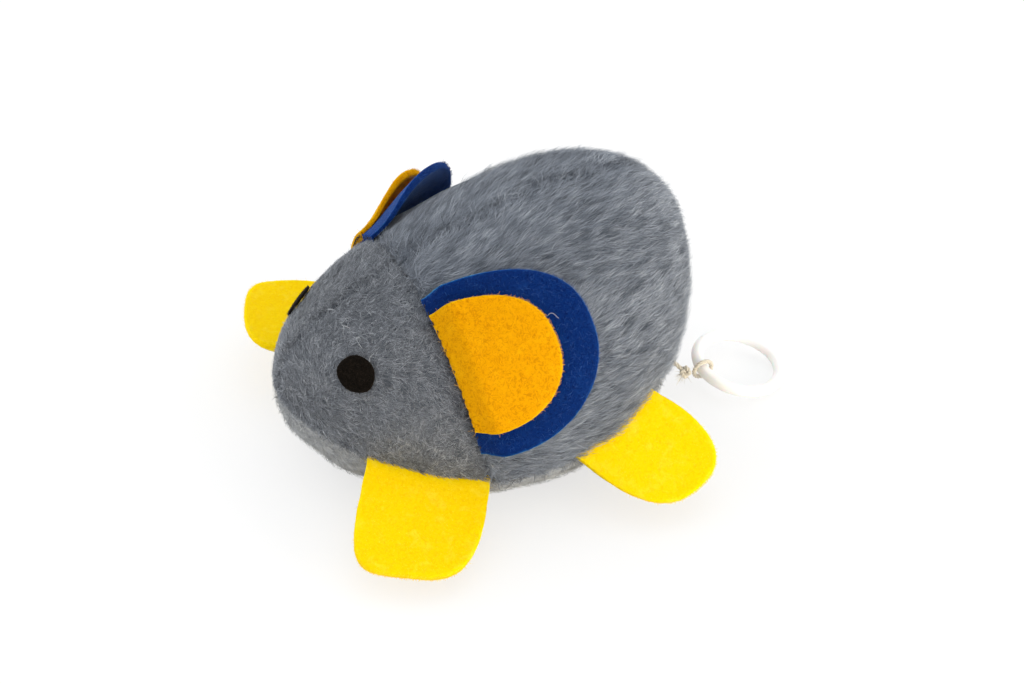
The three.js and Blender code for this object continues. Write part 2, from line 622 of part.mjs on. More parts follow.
const shakerPinion = extruded(
  gearShape(SHAKER_TEETH, SHAKER_BEARING + Math.PI + Math.PI / SHAKER_TEETH, smallBore),
  PINION_WIDTH,
  shakerPinionBottom,
  4,
);
put('shaker_pinion', shakerPinion.translate(shakerPlace.x, shakerPlace.y, 0), LOOKS.gear, shaker);
put('shaker_shaft', shakerShaft, LOOKS.steel, shaker);
const weightShape = new THREE.Shape();
weightShape.absarc(0, 0, WEIGHT_RADIUS, -Math.PI / 2, Math.PI / 2);
weightShape.lineTo(-WEIGHT_HUB_RADIUS, WEIGHT_HUB_RADIUS);
weightShape.absarc(0, 0, WEIGHT_HUB_RADIUS, Math.PI / 2 + Math.PI / 4, Math.PI * 1.5 - Math.PI / 4);
weightShape.holes.push(new THREE.Path().absarc(0, 0, smallBore, 0, Math.PI * 2));
const weight = extruded(weightShape, WEIGHT_WIDTH, weightBottom);
put('shaker_weight', weight.translate(shakerPlace.x, shakerPlace.y, 0), LOOKS.steel, shaker);

hinges.drum_spin = { point: inBody(0, 0, 0), axis: leftward };
hinges.idler_spin = { point: inBody(idlerPlace.x, idlerPlace.y, 0), axis: leftward };
hinges.shaker_spin = { point: inBody(shakerPlace.x, shakerPlace.y, 0), axis: leftward };

// Cord: from the drum through the case and out of the rear seam
const cordStart = Math.sqrt((windingOutside + SEAT_GAP) ** 2 - windingInside ** 2);
const cordRoute = [
  inBody(cordStart, -windingRadius, cordLayer),
  inBody(inside.rear + CASE_WALL + EYELET_LIP, -windingRadius, cordLayer),
  CORD_EXIT,
];
put('cord_run', tube(cordRoute, CORD_RADIUS), LOOKS.cord);

// Ring, raised on the side where the cord holds it, and the cord's loop round its tube
const ringTurn = new THREE.Quaternion().setFromUnitVectors(new THREE.Vector3(0, 0, 1), RING_NORMAL);
const ring = new THREE.TorusGeometry(RING_RADIUS, RING_TUBE, 8, 24).applyQuaternion(ringTurn);
put('pull_ring', ring.translate(...RING_PLACE), LOOKS.ring);
const towardKnot = RING_HELD_AT.clone().projectOnPlane(RING_NORMAL).normalize();
const loopPlace = RING_PLACE.clone().addScaledVector(towardKnot, RING_RADIUS);
const loopRadius = RING_TUBE + SEAT_GAP + CORD_RADIUS;
const ringTangent = new THREE.Vector3().crossVectors(RING_NORMAL, towardKnot).normalize();
const loopTurn = new THREE.Quaternion().setFromUnitVectors(new THREE.Vector3(0, 0, 1), ringTangent);
const loop = new THREE.TorusGeometry(loopRadius, CORD_RADIUS, 6, 12).applyQuaternion(loopTurn);
put('cord_loop', loop.translate(...loopPlace), LOOKS.cord);
const knotReach = loopRadius + CORD_RADIUS + SEAT_GAP + KNOT_RADIUS;
const knotPlace = loopPlace.clone().addScaledVector(towardKnot, knotReach);
put('cord_knot', new THREE.SphereGeometry(KNOT_RADIUS, 10, 8).translate(...knotPlace), LOOKS.cord);
const pulled = knotPlace.clone().sub(CORD_EXIT).normalize();
const cordStartOutside = CORD_EXIT.clone().addScaledVector(pulled, SEAT_GAP + CORD_RADIUS);
const cordEndOutside = knotPlace.clone().addScaledVector(pulled, -KNOT_RADIUS - SEAT_GAP);
put('pull_cord', tube([cordStartOutside, cordEndOutside], CORD_RADIUS), LOOKS.cord);
hinges.ring_swing = { point: loopPlace, axis: ringTangent };

// Cover panels, cut flat where they rest and open where the cord comes out
const cordMouth = CORD_EXIT.clone().addScaledVector(pulled, PLUSH);
const cordHoles = [cordRoute, [CORD_EXIT, cordMouth]].map((route) => tube(route, CORD_RADIUS + SEAT_GAP));
const table = new THREE.BoxGeometry(4 * BODY_HALF_WIDTH, 2 * BODY_LENGTH, BODY_HALF_WIDTH);
table.translate(0, 0, -BODY_HALF_WIDTH / 2);
const leftHead = sheetSolid(headRows, panelColumns, headPanel(0), headPanel(PLUSH));
put('left_head_panel', leftHead, LOOKS.plush);
put('right_head_panel', mirrored(leftHead), LOOKS.plush);
const leftFlank = sheetSolid(bellyRows + rumpRows, panelColumns, flankPanel(0), flankPanel(PLUSH));
put('left_flank_panel', cut(leftFlank, ...cordHoles), LOOKS.plush);
put('right_flank_panel', mirrored(leftFlank), LOOKS.plush);
const belly = sheetSolid(headRows + bellyRows - 1, bellyColumns, bellyPanel(0), bellyPanel(PLUSH));
put('belly_panel', cut(belly, table, ...cordHoles), LOOKS.plush);

// Stuffing and sachet
const fillInset = PLUSH + FILL_GAP;
const splitShare = headSeam(0);
const fillGap = SEAT_GAP / BODY_LENGTH;
const fillSides = 20;
const headFill = ringSolid(headRows, fillSides, (u, angle) => {
  const share = POLE + (splitShare - fillGap - POLE) * u * u;
  return skin(share, angle - Math.PI, fillInset);
});
const bodyFill = ringSolid(bellyRows, fillSides, (u, angle) => {
  const share = 1 - POLE - (1 - POLE - splitShare) * (1 - u) * (1 - u);
  return skin(share, angle - Math.PI, fillInset);
});
const sachetAt = (grow) =>
  new THREE.SphereGeometry(1, 16, 10)
    .scale(SACHET_RADIUS.x + grow, SACHET_RADIUS.y + grow, SACHET_RADIUS.z + grow)
    .translate(...SACHET_CENTRE);
const sachetWay = new THREE.CylinderGeometry(1, 1, BODY_LENGTH, 16)
  .scale(SACHET_RADIUS.x * SACHET_MOUTH, 1, SACHET_RADIUS.z * SACHET_MOUTH)
  .translate(SACHET_CENTRE.x, SACHET_CENTRE.y + BODY_LENGTH / 2, SACHET_CENTRE.z);
put('catnip_sachet', sachetAt(0), LOOKS.sachet);
const inMouse = (geometry) => geometry.applyMatrix4(shaker.matrixWorld);
const around = CASE_WALL + SEAT_GAP; // from the case's inner walls to the stuffing
const pocket = extruded(caseOutline(around), caseTop - caseBottom + 2 * around, caseBottom - around, 4);
const flangeRoom = disc(eyeletRadius + EYELET_FLANGE + SEAT_GAP, around + EYELET_LIP + SEAT_GAP, 0, 0, 0, 12);
const caseRoom = [inMouse(pocket), inMouse(alongCord(flangeRoom, inside.rear)), ...cordHoles];
put('head_stuffing', cut(headFill, sachetAt(SEAT_GAP), sachetWay, ...caseRoom), LOOKS.stuffing);
put('body_stuffing', cut(bodyFill, ...caseRoom), LOOKS.stuffing);

// Eyes
const eyeShare = shareAt(EYE_FROM_NOSE);
const eyeNormal = skinFrame(eyeShare, EYE_ANGLE).normal;
const eyeTurn = new THREE.Quaternion().setFromUnitVectors(new THREE.Vector3(0, 1, 0), eyeNormal);
const eyeCentre = skin(eyeShare, EYE_ANGLE).addScaledVector(eyeNormal, SEAT_GAP + EYE_THICKNESS / 2);
const eye = new THREE.CylinderGeometry(EYE_RADIUS, EYE_RADIUS, EYE_THICKNESS, 24).applyQuaternion(eyeTurn);
eye.translate(...eyeCentre);
put('left_eye', eye, LOOKS.darkFelt);
put('right_eye', mirrored(eye), LOOKS.darkFelt);

// Ears: rounded flaps that lie back from the head seam over the flank
const earRows = 6;
const earColumns = 12;
function earFlap(top, bottom, reach, standoff) {
  const face = (height) => (u, v) => {
    const across = (2 * v - 1) * FLAP_CORNER;
    const angle = bottom + ((top - bottom) * (across + 1)) / 2;
    const depth = reach * (1 - Math.abs(across) ** EAR_ROUNDNESS) ** (1 / EAR_ROUNDNESS);
    const share = headSeam(angle) + shareAt(SEAM_GAP / 2 + depth * u);
    const curl = EAR_CURL * across ** 4;
    return skin(share, angle).addScaledVector(skinFrame(share, angle).normal, height + curl);
  };
  const middle = (top + bottom) / 2;
  const share = headSeam(middle) + seamShare;
  const { along, normal } = skinFrame(share, middle);
  const point = skin(share, middle).addScaledVector(normal, standoff);
  const geometry = sheetSolid(earRows, earColumns, face(standoff + FELT), face(standoff));
  return { geometry, hinge: { point, axis: new THREE.Vector3().crossVectors(along, normal).normalize() } };
}
const outerFlap = earFlap(EAR_TOP, EAR_BOTTOM, EAR_REACH, EAR_STANDOFF);
const innerStandoff = EAR_STANDOFF + FELT + EAR_FLAP_GAP;
const innerFlap = earFlap(EAR_INNER_TOP, EAR_INNER_BOTTOM, EAR_INNER_REACH, innerStandoff);
const mirroredHinge = ({ point, axis }) => ({
  point: mirroredVector(point),
  axis: mirroredVector(axis).negate(),
});
const rightOuterHinge = mirroredHinge(outerFlap.hinge);
const rightInnerHinge = mirroredHinge(innerFlap.hinge);
const lifted = (geometry) => turned(geometry, rightOuterHinge, RIGHT_EAR_LIFT);
put('left_ear_outer', outerFlap.geometry, LOOKS.blueFelt);
put('left_ear_inner', innerFlap.geometry, LOOKS.orangeFelt);
put('right_ear_outer', lifted(mirrored(outerFlap.geometry)), LOOKS.blueFelt);
const spread = turned(mirrored(innerFlap.geometry), rightInnerHinge, RIGHT_EAR_SPREAD);
put('right_ear_inner', lifted(spread), LOOKS.orangeFelt);
hinges.left_ear_outer = outerFlap.hinge;
hinges.left_ear_inner = innerFlap.hinge;
hinges.right_ear_outer = rightOuterHinge;
const { point: pivot, axis: liftAxis } = rightOuterHinge;
hinges.right_ear_inner = {
  point: rightInnerHinge.point.clone().sub(pivot).applyAxisAngle(liftAxis, RIGHT_EAR_LIFT).add(pivot),
  axis: rightInnerHinge.axis.clone().applyAxisAngle(liftAxis, RIGHT_EAR_LIFT),
};

// Feet: flat flaps that stand out from the belly seam and hang toward the table
const footRows = 4;
const footColumns = 10;
function footFlap({ from, to, reach, squareness }, drop, lean) {
  const start = skin(shareAt(from), SEAM_ANGLE);
  const end = skin(shareAt(to), SEAM_ANGLE);
  const along = end.clone().sub(start);
  const width = along.length();
  along.normalize();
  const level = new THREE.Vector3().crossVectors(along, new THREE.Vector3(0, 0, 1)).normalize();
  const out = level.applyAxisAngle(along, drop);
  const up = new THREE.Vector3().crossVectors(out, along).normalize();
  const middle = start.clone().lerp(end, 0.5);
  const place = (side, run, height) =>
    middle.clone().addScaledVector(along, side).addScaledVector(out, run).addScaledVector(up, height);
  const faces = [-FELT / 2, 0, FELT / 2];
  const baseAt = (side) => {
    let run = reach / 2;
    const clear = () => !faces.some((height) => insideSkin(place(side, run, height)));
    while (run > -reach / 2 && clear()) run -= FOOT_STEP;
    return run + FOOT_STANDOFF;
  };
  const face = (height) => (u, v) => {
    const across = (2 * v - 1) * FLAP_CORNER;
    const side = (across * width) / 2;
    const base = baseAt(side);
    const depth = Math.max(0, 1 - Math.abs(across) ** squareness) ** (1 / squareness);
    const run = base + (reach - base) * depth * u;
    return place(side + (lean * (run - base)) / reach, run, height);
  };
  const geometry = sheetSolid(footRows, footColumns, face(FELT / 2), face(-FELT / 2));
  const bases = Array.from({ length: footColumns + 1 }, (_, i) => baseAt((i / footColumns - 0.5) * width));
  const point = place(0, Math.max(...bases), 0);
  return { geometry, hinge: { point, axis: new THREE.Vector3().crossVectors(out, up).normalize() } };
}
for (const [name, { foot, side, drop, lean }] of Object.entries(FOOT_POSES)) {
  const { geometry, hinge } = footFlap(foot, drop, lean);
  put(`${name}_foot`, side > 0 ? geometry : mirrored(geometry), LOOKS.yellowFelt);
  hinges[`${name}_foot`] = side > 0 ? hinge : mirroredHinge(hinge);
}
mouse.userData.hinges = hinges;
mouse.userData.windingRadius = windingRadius;

export default mouse;
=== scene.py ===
"""Plush mouse with felt ears and feet and a ring on a pull cord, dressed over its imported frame."""

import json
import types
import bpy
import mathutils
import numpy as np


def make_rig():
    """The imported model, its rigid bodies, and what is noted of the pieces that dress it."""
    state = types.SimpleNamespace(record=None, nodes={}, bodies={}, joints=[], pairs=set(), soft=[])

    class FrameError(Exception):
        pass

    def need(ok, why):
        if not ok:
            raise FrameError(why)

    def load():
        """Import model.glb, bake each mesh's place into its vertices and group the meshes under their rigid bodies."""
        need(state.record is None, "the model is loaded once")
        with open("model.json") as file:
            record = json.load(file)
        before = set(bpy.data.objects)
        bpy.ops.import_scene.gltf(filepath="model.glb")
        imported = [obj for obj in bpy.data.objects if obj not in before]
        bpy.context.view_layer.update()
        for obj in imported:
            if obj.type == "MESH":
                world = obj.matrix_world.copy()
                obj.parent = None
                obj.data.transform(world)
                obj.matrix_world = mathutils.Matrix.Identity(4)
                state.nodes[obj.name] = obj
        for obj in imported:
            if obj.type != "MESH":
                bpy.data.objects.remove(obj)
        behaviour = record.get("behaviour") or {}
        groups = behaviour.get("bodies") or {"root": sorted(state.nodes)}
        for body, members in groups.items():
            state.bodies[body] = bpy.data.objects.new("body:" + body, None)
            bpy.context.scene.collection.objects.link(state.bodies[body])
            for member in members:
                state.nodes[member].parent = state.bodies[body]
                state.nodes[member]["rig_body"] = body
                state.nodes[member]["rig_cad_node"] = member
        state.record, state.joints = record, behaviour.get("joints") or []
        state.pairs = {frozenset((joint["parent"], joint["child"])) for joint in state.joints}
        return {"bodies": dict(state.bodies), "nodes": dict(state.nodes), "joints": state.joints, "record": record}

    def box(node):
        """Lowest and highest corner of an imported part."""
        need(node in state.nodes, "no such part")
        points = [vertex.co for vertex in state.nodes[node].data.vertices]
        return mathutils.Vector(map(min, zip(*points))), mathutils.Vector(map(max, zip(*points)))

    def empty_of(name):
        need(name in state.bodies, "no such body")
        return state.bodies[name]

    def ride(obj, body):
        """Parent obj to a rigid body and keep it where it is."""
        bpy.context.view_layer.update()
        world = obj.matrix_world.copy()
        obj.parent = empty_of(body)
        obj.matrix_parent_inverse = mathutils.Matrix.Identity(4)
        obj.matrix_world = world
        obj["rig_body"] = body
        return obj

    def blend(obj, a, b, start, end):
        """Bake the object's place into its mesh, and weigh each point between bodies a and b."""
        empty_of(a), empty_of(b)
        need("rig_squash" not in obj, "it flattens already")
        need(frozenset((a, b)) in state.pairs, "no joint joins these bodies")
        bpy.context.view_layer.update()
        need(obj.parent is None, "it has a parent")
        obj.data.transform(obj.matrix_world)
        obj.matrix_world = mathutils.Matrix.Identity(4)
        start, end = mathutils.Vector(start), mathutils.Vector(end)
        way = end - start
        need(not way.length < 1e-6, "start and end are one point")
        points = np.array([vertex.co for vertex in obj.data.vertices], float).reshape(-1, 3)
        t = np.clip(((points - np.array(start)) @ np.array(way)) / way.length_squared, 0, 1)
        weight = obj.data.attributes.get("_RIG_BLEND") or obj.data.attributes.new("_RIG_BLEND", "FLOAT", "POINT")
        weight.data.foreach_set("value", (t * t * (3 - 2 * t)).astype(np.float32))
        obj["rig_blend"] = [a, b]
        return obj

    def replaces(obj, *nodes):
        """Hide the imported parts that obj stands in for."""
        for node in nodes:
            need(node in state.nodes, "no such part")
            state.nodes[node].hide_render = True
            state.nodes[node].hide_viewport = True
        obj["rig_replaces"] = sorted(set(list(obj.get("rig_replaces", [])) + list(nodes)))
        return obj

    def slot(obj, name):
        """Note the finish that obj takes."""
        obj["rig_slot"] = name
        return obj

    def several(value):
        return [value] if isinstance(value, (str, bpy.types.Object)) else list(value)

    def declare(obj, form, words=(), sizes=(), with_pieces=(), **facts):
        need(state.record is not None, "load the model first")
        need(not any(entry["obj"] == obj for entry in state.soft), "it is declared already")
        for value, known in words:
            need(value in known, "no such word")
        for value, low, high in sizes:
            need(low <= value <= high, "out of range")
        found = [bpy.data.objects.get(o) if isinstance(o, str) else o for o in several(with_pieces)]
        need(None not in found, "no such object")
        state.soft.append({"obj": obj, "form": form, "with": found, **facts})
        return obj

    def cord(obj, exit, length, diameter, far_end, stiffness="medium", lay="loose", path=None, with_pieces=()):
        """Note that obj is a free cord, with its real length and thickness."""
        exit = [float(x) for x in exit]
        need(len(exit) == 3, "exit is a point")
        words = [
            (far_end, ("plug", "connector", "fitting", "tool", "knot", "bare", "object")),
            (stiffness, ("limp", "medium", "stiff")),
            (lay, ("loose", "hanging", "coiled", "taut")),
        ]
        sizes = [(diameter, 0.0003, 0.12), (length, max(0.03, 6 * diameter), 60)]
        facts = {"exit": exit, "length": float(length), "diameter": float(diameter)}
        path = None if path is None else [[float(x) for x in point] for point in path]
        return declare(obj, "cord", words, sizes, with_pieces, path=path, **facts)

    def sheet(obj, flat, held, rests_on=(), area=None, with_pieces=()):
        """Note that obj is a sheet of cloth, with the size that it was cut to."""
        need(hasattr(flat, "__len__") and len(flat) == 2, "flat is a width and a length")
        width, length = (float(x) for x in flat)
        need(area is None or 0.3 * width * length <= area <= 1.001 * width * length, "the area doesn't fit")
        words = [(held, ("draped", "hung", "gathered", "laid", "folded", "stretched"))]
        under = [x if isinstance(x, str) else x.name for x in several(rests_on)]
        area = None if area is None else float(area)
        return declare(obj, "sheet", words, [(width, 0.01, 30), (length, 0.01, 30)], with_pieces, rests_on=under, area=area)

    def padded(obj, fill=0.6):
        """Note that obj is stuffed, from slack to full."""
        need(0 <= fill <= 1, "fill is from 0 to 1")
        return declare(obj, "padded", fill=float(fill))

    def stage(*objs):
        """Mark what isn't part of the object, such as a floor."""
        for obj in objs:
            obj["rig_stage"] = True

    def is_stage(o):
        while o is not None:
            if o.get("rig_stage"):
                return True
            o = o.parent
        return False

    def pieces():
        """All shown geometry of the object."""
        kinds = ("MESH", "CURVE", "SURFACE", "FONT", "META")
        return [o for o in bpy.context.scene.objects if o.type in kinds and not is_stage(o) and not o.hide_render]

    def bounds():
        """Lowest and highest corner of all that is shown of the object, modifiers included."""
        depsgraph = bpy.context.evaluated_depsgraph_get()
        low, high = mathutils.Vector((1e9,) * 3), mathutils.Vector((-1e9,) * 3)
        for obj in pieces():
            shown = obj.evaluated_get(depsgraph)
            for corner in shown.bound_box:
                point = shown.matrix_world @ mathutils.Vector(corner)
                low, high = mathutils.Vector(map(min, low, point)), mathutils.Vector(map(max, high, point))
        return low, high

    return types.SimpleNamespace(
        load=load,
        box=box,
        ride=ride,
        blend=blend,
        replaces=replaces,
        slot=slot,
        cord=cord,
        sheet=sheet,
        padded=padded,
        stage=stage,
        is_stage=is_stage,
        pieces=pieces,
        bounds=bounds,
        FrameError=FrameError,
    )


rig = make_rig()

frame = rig.load()
CAD_BOX = [list(corner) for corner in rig.bounds()]

import json
import logging
import math
from dataclasses import dataclass
from enum import Enum
from functools import partial
from typing import Callable, Optional, Sequence

import bpy
import numpy as np
from mathutils import Matrix, Vector
from mathutils.kdtree import KDTree

log = logging.getLogger("mouse")
MM = 0.001
Array = np.ndarray
Colour = tuple[float, float, float]
Point = tuple[float, float, float]
Span = tuple[float, float]
Rng = np.random.Generator
Piece = bpy.types.Object
Socket = bpy.types.NodeSocket
WHITE = (1.0, 1.0, 1.0)
QUARTER = math.pi / 2


class Side(Enum):
    """A side of the mouse, as the sign of X."""

    LEFT = 1
    RIGHT = -1

    @property
    def word(self) -> str:
        """The side's name in piece names."""
        return self.name.lower()

    def put(self, points: Array) -> Array:
        """Points of the left side, put on this side."""
        return points * np.array([self.value, 1, 1])


class Cover(Enum):
    """The three cuts of plush that are sewn into the body."""

    HEAD = "head"
    FLANK = "flank"
    BELLY = "belly"

    @property
    def slot(self) -> str:
        """The record's material slot for this plush."""
        return "head_plush" if self is Cover.HEAD else "body_plush"


class Grain(Enum):
    """How a hard surface was made: its grain's stretch along each axis, and its marks in a metre."""

    MOULDED = ((1, 1, 1), 2600)
    TURNED = ((0.06, 1, 1), 4200)


def rgb(*levels: int) -> Colour:
    """A colour read off a screen, as Blender wants it.

    Args:
        levels: red, green and blue, from 0 to 255.

    Returns:
        The colour in linear light.
    """
    shares = np.array(levels) / 255
    light = np.where(shares <= 0.04045, shares / 12.92, ((shares + 0.055) / 1.055) ** 2.4)
    return tuple(float(x) for x in light)


def halfway(one: Colour, other: Colour) -> Colour:
    """The colour between two."""
    return tuple((a + b) / 2 for a, b in zip(one, other))


def unit(vectors: Array) -> Array:
    """Vectors of length one along the last axis."""
    return vectors / np.maximum(np.linalg.norm(vectors, axis=-1, keepdims=True), 1e-12)


def turn(points: Array, place: Array, axis: Array, angles: Array) -> Array:
    """Points turned about a line, each by its own angle.

    Args:
        points: points, one to a row.
        place: a point on the line.
        axis: the line's direction, of length one.
        angles: an angle for each point, in radians.

    Returns:
        The turned points.
    """
    arm = points - place
    c, s = np.cos(angles)[:, None], np.sin(angles)[:, None]
    along = (arm @ axis)[:, None] * axis
    return place + arm * c + np.cross(axis, arm) * s + along * (1 - c)


def smooth_step(t: Array) -> Array:
    """0 up to 0, 1 from 1 on, and a smooth climb between."""
    t = np.clip(t, 0, 1)
    return t * t * (3 - 2 * t)


def fading(off: Array, width: float) -> Array:
    """1 at 0, fading out over a width."""
    return np.exp(-(off / width) ** 2)


def full_turn(count: int) -> Array:
    """Angles round a full turn, evenly spaced."""
    return np.linspace(0, 2 * math.pi, count, endpoint=False)


def distances(path: Array) -> Array:
    """How far along a line each of its points is."""
    return np.concatenate([[0], np.cumsum(np.linalg.norm(np.diff(path, axis=0), axis=1))])


def mesh_object(name: str, points: Array, faces: Array) -> Piece:
    """A mesh object from points in millimetres, shaded smooth.

    Args:
        name: the piece's name.
        points: points, one to a row.
        faces: quads or triangles, one to a row, as point numbers.

    Returns:
        The object, linked to the scene.
    """
    mesh = bpy.data.meshes.new(name)
    mesh.from_pydata(np.asarray(points, float) * MM, [], faces)
    mesh.shade_smooth()
    mesh.validate()
    made = bpy.data.objects.new(name, mesh)
    bpy.context.scene.collection.objects.link(made)
    return made


def grid_faces(rows: int, columns: int, wrap_rows: bool = False, wrap_columns: bool = False) -> Array:
    """Quads of a grid of points that is numbered row by row.

    Args:
        rows: rows of points.
        columns: points in a row.
        wrap_rows: whether the last row joins the first.
        wrap_columns: whether a row's last point joins its first.

    Returns:
        The quads.
    """
    i = np.arange(rows if wrap_rows else rows - 1)[:, None]
    j = np.arange(columns if wrap_columns else columns - 1)[None, :]
    i2, j2 = (i + 1) % rows, (j + 1) % columns
    corners = (i * columns + j, i * columns + j2, i2 * columns + j2, i2 * columns + j)
    return np.stack(np.broadcast_arrays(*corners), -1).reshape(-1, 4)


class NodeBench:
    """A node tree on the bench, with short calls to add to it."""

    def __init__(self, tree: bpy.types.NodeTree) -> None:
        """Takes up a tree and clears it."""
        self.tree = tree
        self.tree.nodes.clear()

    def feed(self, socket: Socket, value: object) -> None:
        """Links a socket to another, or sets it to a number, a vector or a colour.

        Args:
            socket: the socket to feed.
            value: the other socket, or the value.
        """
        if isinstance(value, Socket):
            self.tree.links.new(value, socket)
        else:
            socket.default_value = (*value, 1) if socket.type == "RGBA" else value

    def fill(self, node: bpy.types.Node, **values: object) -> bpy.types.Node:
        """Feeds a node's sockets.

        Args:
            node: the node.
            values: values or sockets, by the node's names for them, with underscores for spaces.

        Returns:
            The node.
        """
        for name, value in values.items():
            self.feed(node.inputs[name.replace("_", " ")], value)
        return node

    def add(self, kind: str, **values: object) -> bpy.types.Node:
        """Adds a node and feeds its sockets."""
        return self.fill(self.tree.nodes.new("ShaderNode" + kind), **values)

    def figure(self, way: str, one: Socket, other: object) -> Socket:
        """Two values worked into one.

        Args:
            way: Blender's name for the sum.
            one: a value's socket.
            other: a value or its socket.

        Returns:
            The result's socket.
        """
        made = self.add("Math")
        made.operation = way
        for socket, value in zip(made.inputs, (one, other)):
            self.feed(socket, value)
        return made.outputs[0]

    def show(self, share: Socket, one: bpy.types.Node, other: bpy.types.Node, output: str) -> None:
        """Sends two shaders, mixed by a share, to a new output.

        Args:
            share: the share's socket.
            one: the shader at 0.
            other: the shader at 1.
            output: Blender's name for the output.
        """
        mix = self.add("MixShader")
        for socket, value in zip(mix.inputs, (share, one.outputs[0], other.outputs[0])):
            self.feed(socket, value)
        self.add(output, Surface=mix.outputs[0])


class Bench(NodeBench):
    """A new material on the bench."""

    def __init__(self, name: str) -> None:
        """Starts a material with an output and its shader.

        Args:
            name: the material's name.
        """
        self.material = bpy.data.materials.new(name)
        self.material.use_nodes = True
        super().__init__(self.material.node_tree)
        self.shader = self.add("BsdfPrincipled")
        self.add("OutputMaterial", Surface=self.shader.outputs["BSDF"])

    def set(self, **values: object) -> None:
        """Feeds the shader's own sockets."""
        self.fill(self.shader, **values)

    def place(self, stretch: Point = (1, 1, 1), turned: Point = (0, 0, 0)) -> Socket:
        """The point on the piece in metres, stretched along its axes and turned by radians about them."""
        at = self.add("TexCoord").outputs["Object"]
        return self.add("Mapping", Vector=at, Scale=stretch, Rotation=turned).outputs["Vector"]

    def noise(self, at: Socket, scale: float, detail: float = 3, warp: float = 0) -> Socket:
        """A noise at a point: its patches in a metre, its finer layers, and how far it is pulled about."""
        return self.add("TexNoise", Vector=at, Scale=scale, Detail=detail, Distortion=warp).outputs["Fac"]

    def ramp(self, value: Socket, stops: Sequence[tuple[float, Colour]]) -> Socket:
        """A colour for a value.

        Args:
            value: the value's socket.
            stops: places from 0 to 1 with their colours.

        Returns:
            The colour's socket.
        """
        made = self.add("ValToRGB")
        band = made.color_ramp.elements
        while len(band) < len(stops):
            band.new(0.5)
        for element, (place, colour) in zip(band, stops):
            element.position = place
            element.color = (*colour, 1)
        return self.fill(made, Fac=value).outputs["Color"]

    def mix(self, share: object, one: object, other: object, way: str = "MIX") -> Socket:
        """Two colours mixed by a share.

        Args:
            share: the share or its socket.
            one: a colour or its socket.
            other: a colour or its socket.
            way: Blender's name for the mix.

        Returns:
            The colour's socket.
        """
        made = self.add("Mix")
        made.data_type, made.blend_type = "RGBA", way
        factor, first_colour, second_colour, result = 0, 6, 7, 2
        for number, value in ((factor, share), (first_colour, one), (second_colour, other)):
            self.feed(made.inputs[number], value)
        return made.outputs[result]

    def between(self, value: Socket, low: float, high: float, to_low: float, to_high: float) -> Socket:
        """A value carried from one span to another."""
        ends = {"From_Min": low, "From_Max": high, "To_Min": to_low, "To_Max": to_high}
        return self.add("MapRange", Value=value, **ends).outputs["Result"]

    def bump(self, height: Socket, depth: float, strength: float) -> None:
        """Raises the surface by a value, by a depth in millimetres at the most."""
        made = self.add("Bump", Height=height, Distance=depth * MM, Strength=strength)
        self.set(Normal=made.outputs["Normal"])


@dataclass(frozen=True)
class Finish:
    """A surface to put on pieces. Its material is made the first time it is asked for."""

    name: str

    def paint(self, bench: Bench) -> None:
        """Builds the surface on a new material's bench."""
        raise NotImplementedError

    def material(self) -> bpy.types.Material:
        """The finish's material.

        Returns:
            The material, which all pieces with this finish share.
        """
        made = bpy.data.materials.get(self.name)
        if made is None:
            bench = Bench(self.name)
            self.paint(bench)
            made = bench.material
        return made


def dress(piece: Piece, finish: Finish, slot: str) -> Piece:
    """Gives a new piece its finish and names the record's slot that it stands for."""
    piece.data.materials.append(finish.material())
    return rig.slot(piece, slot)


def new_piece(name: str, points: Array, faces: Array, finish: Finish, slot: str) -> Piece:
    """A dressed piece from points in millimetres and faces."""
    return dress(mesh_object(name, points, faces), finish, slot)


@dataclass(frozen=True)
class PileFinish(Finish):
    """Loose fibres, coloured along their length and from one fibre to the next."""

    dark: Colour
    middle: Colour
    light: Colour
    # How dark a fibre's root is painted: painted shade deep in the pile.
    root: float = 0.8
    rough: float = 0.9
    sheen: float = 0.35

    def paint(self, bench: Bench) -> None:
        """Colours the fibres by their own map: root to tip, darker at the root as painted shade deep in the pile, and
        each fibre's own tone.

        Args:
            bench: its new material's bench.
        """
        own = bench.add("UVMap")
        own.uv_map = Pile.MAP
        parts = bench.add("SeparateXYZ", Vector=own.outputs["UV"])
        shade = bench.ramp(parts.outputs["Y"], [(0.08, self.dark), (0.5, self.middle), (0.92, self.light)])
        # Painted shade: the fibres darken toward their roots.
        stops = [(0.0, (self.root,) * 3), (0.5, (0.96,) * 3), (1.0, WHITE)]
        depth = bench.ramp(parts.outputs["X"], stops)
        bench.set(Base_Color=bench.mix(1.0, shade, depth, "MULTIPLY"))
        bench.set(Roughness=self.rough, Sheen_Weight=self.sheen, Sheen_Roughness=0.5, Specular_IOR_Level=0.1)


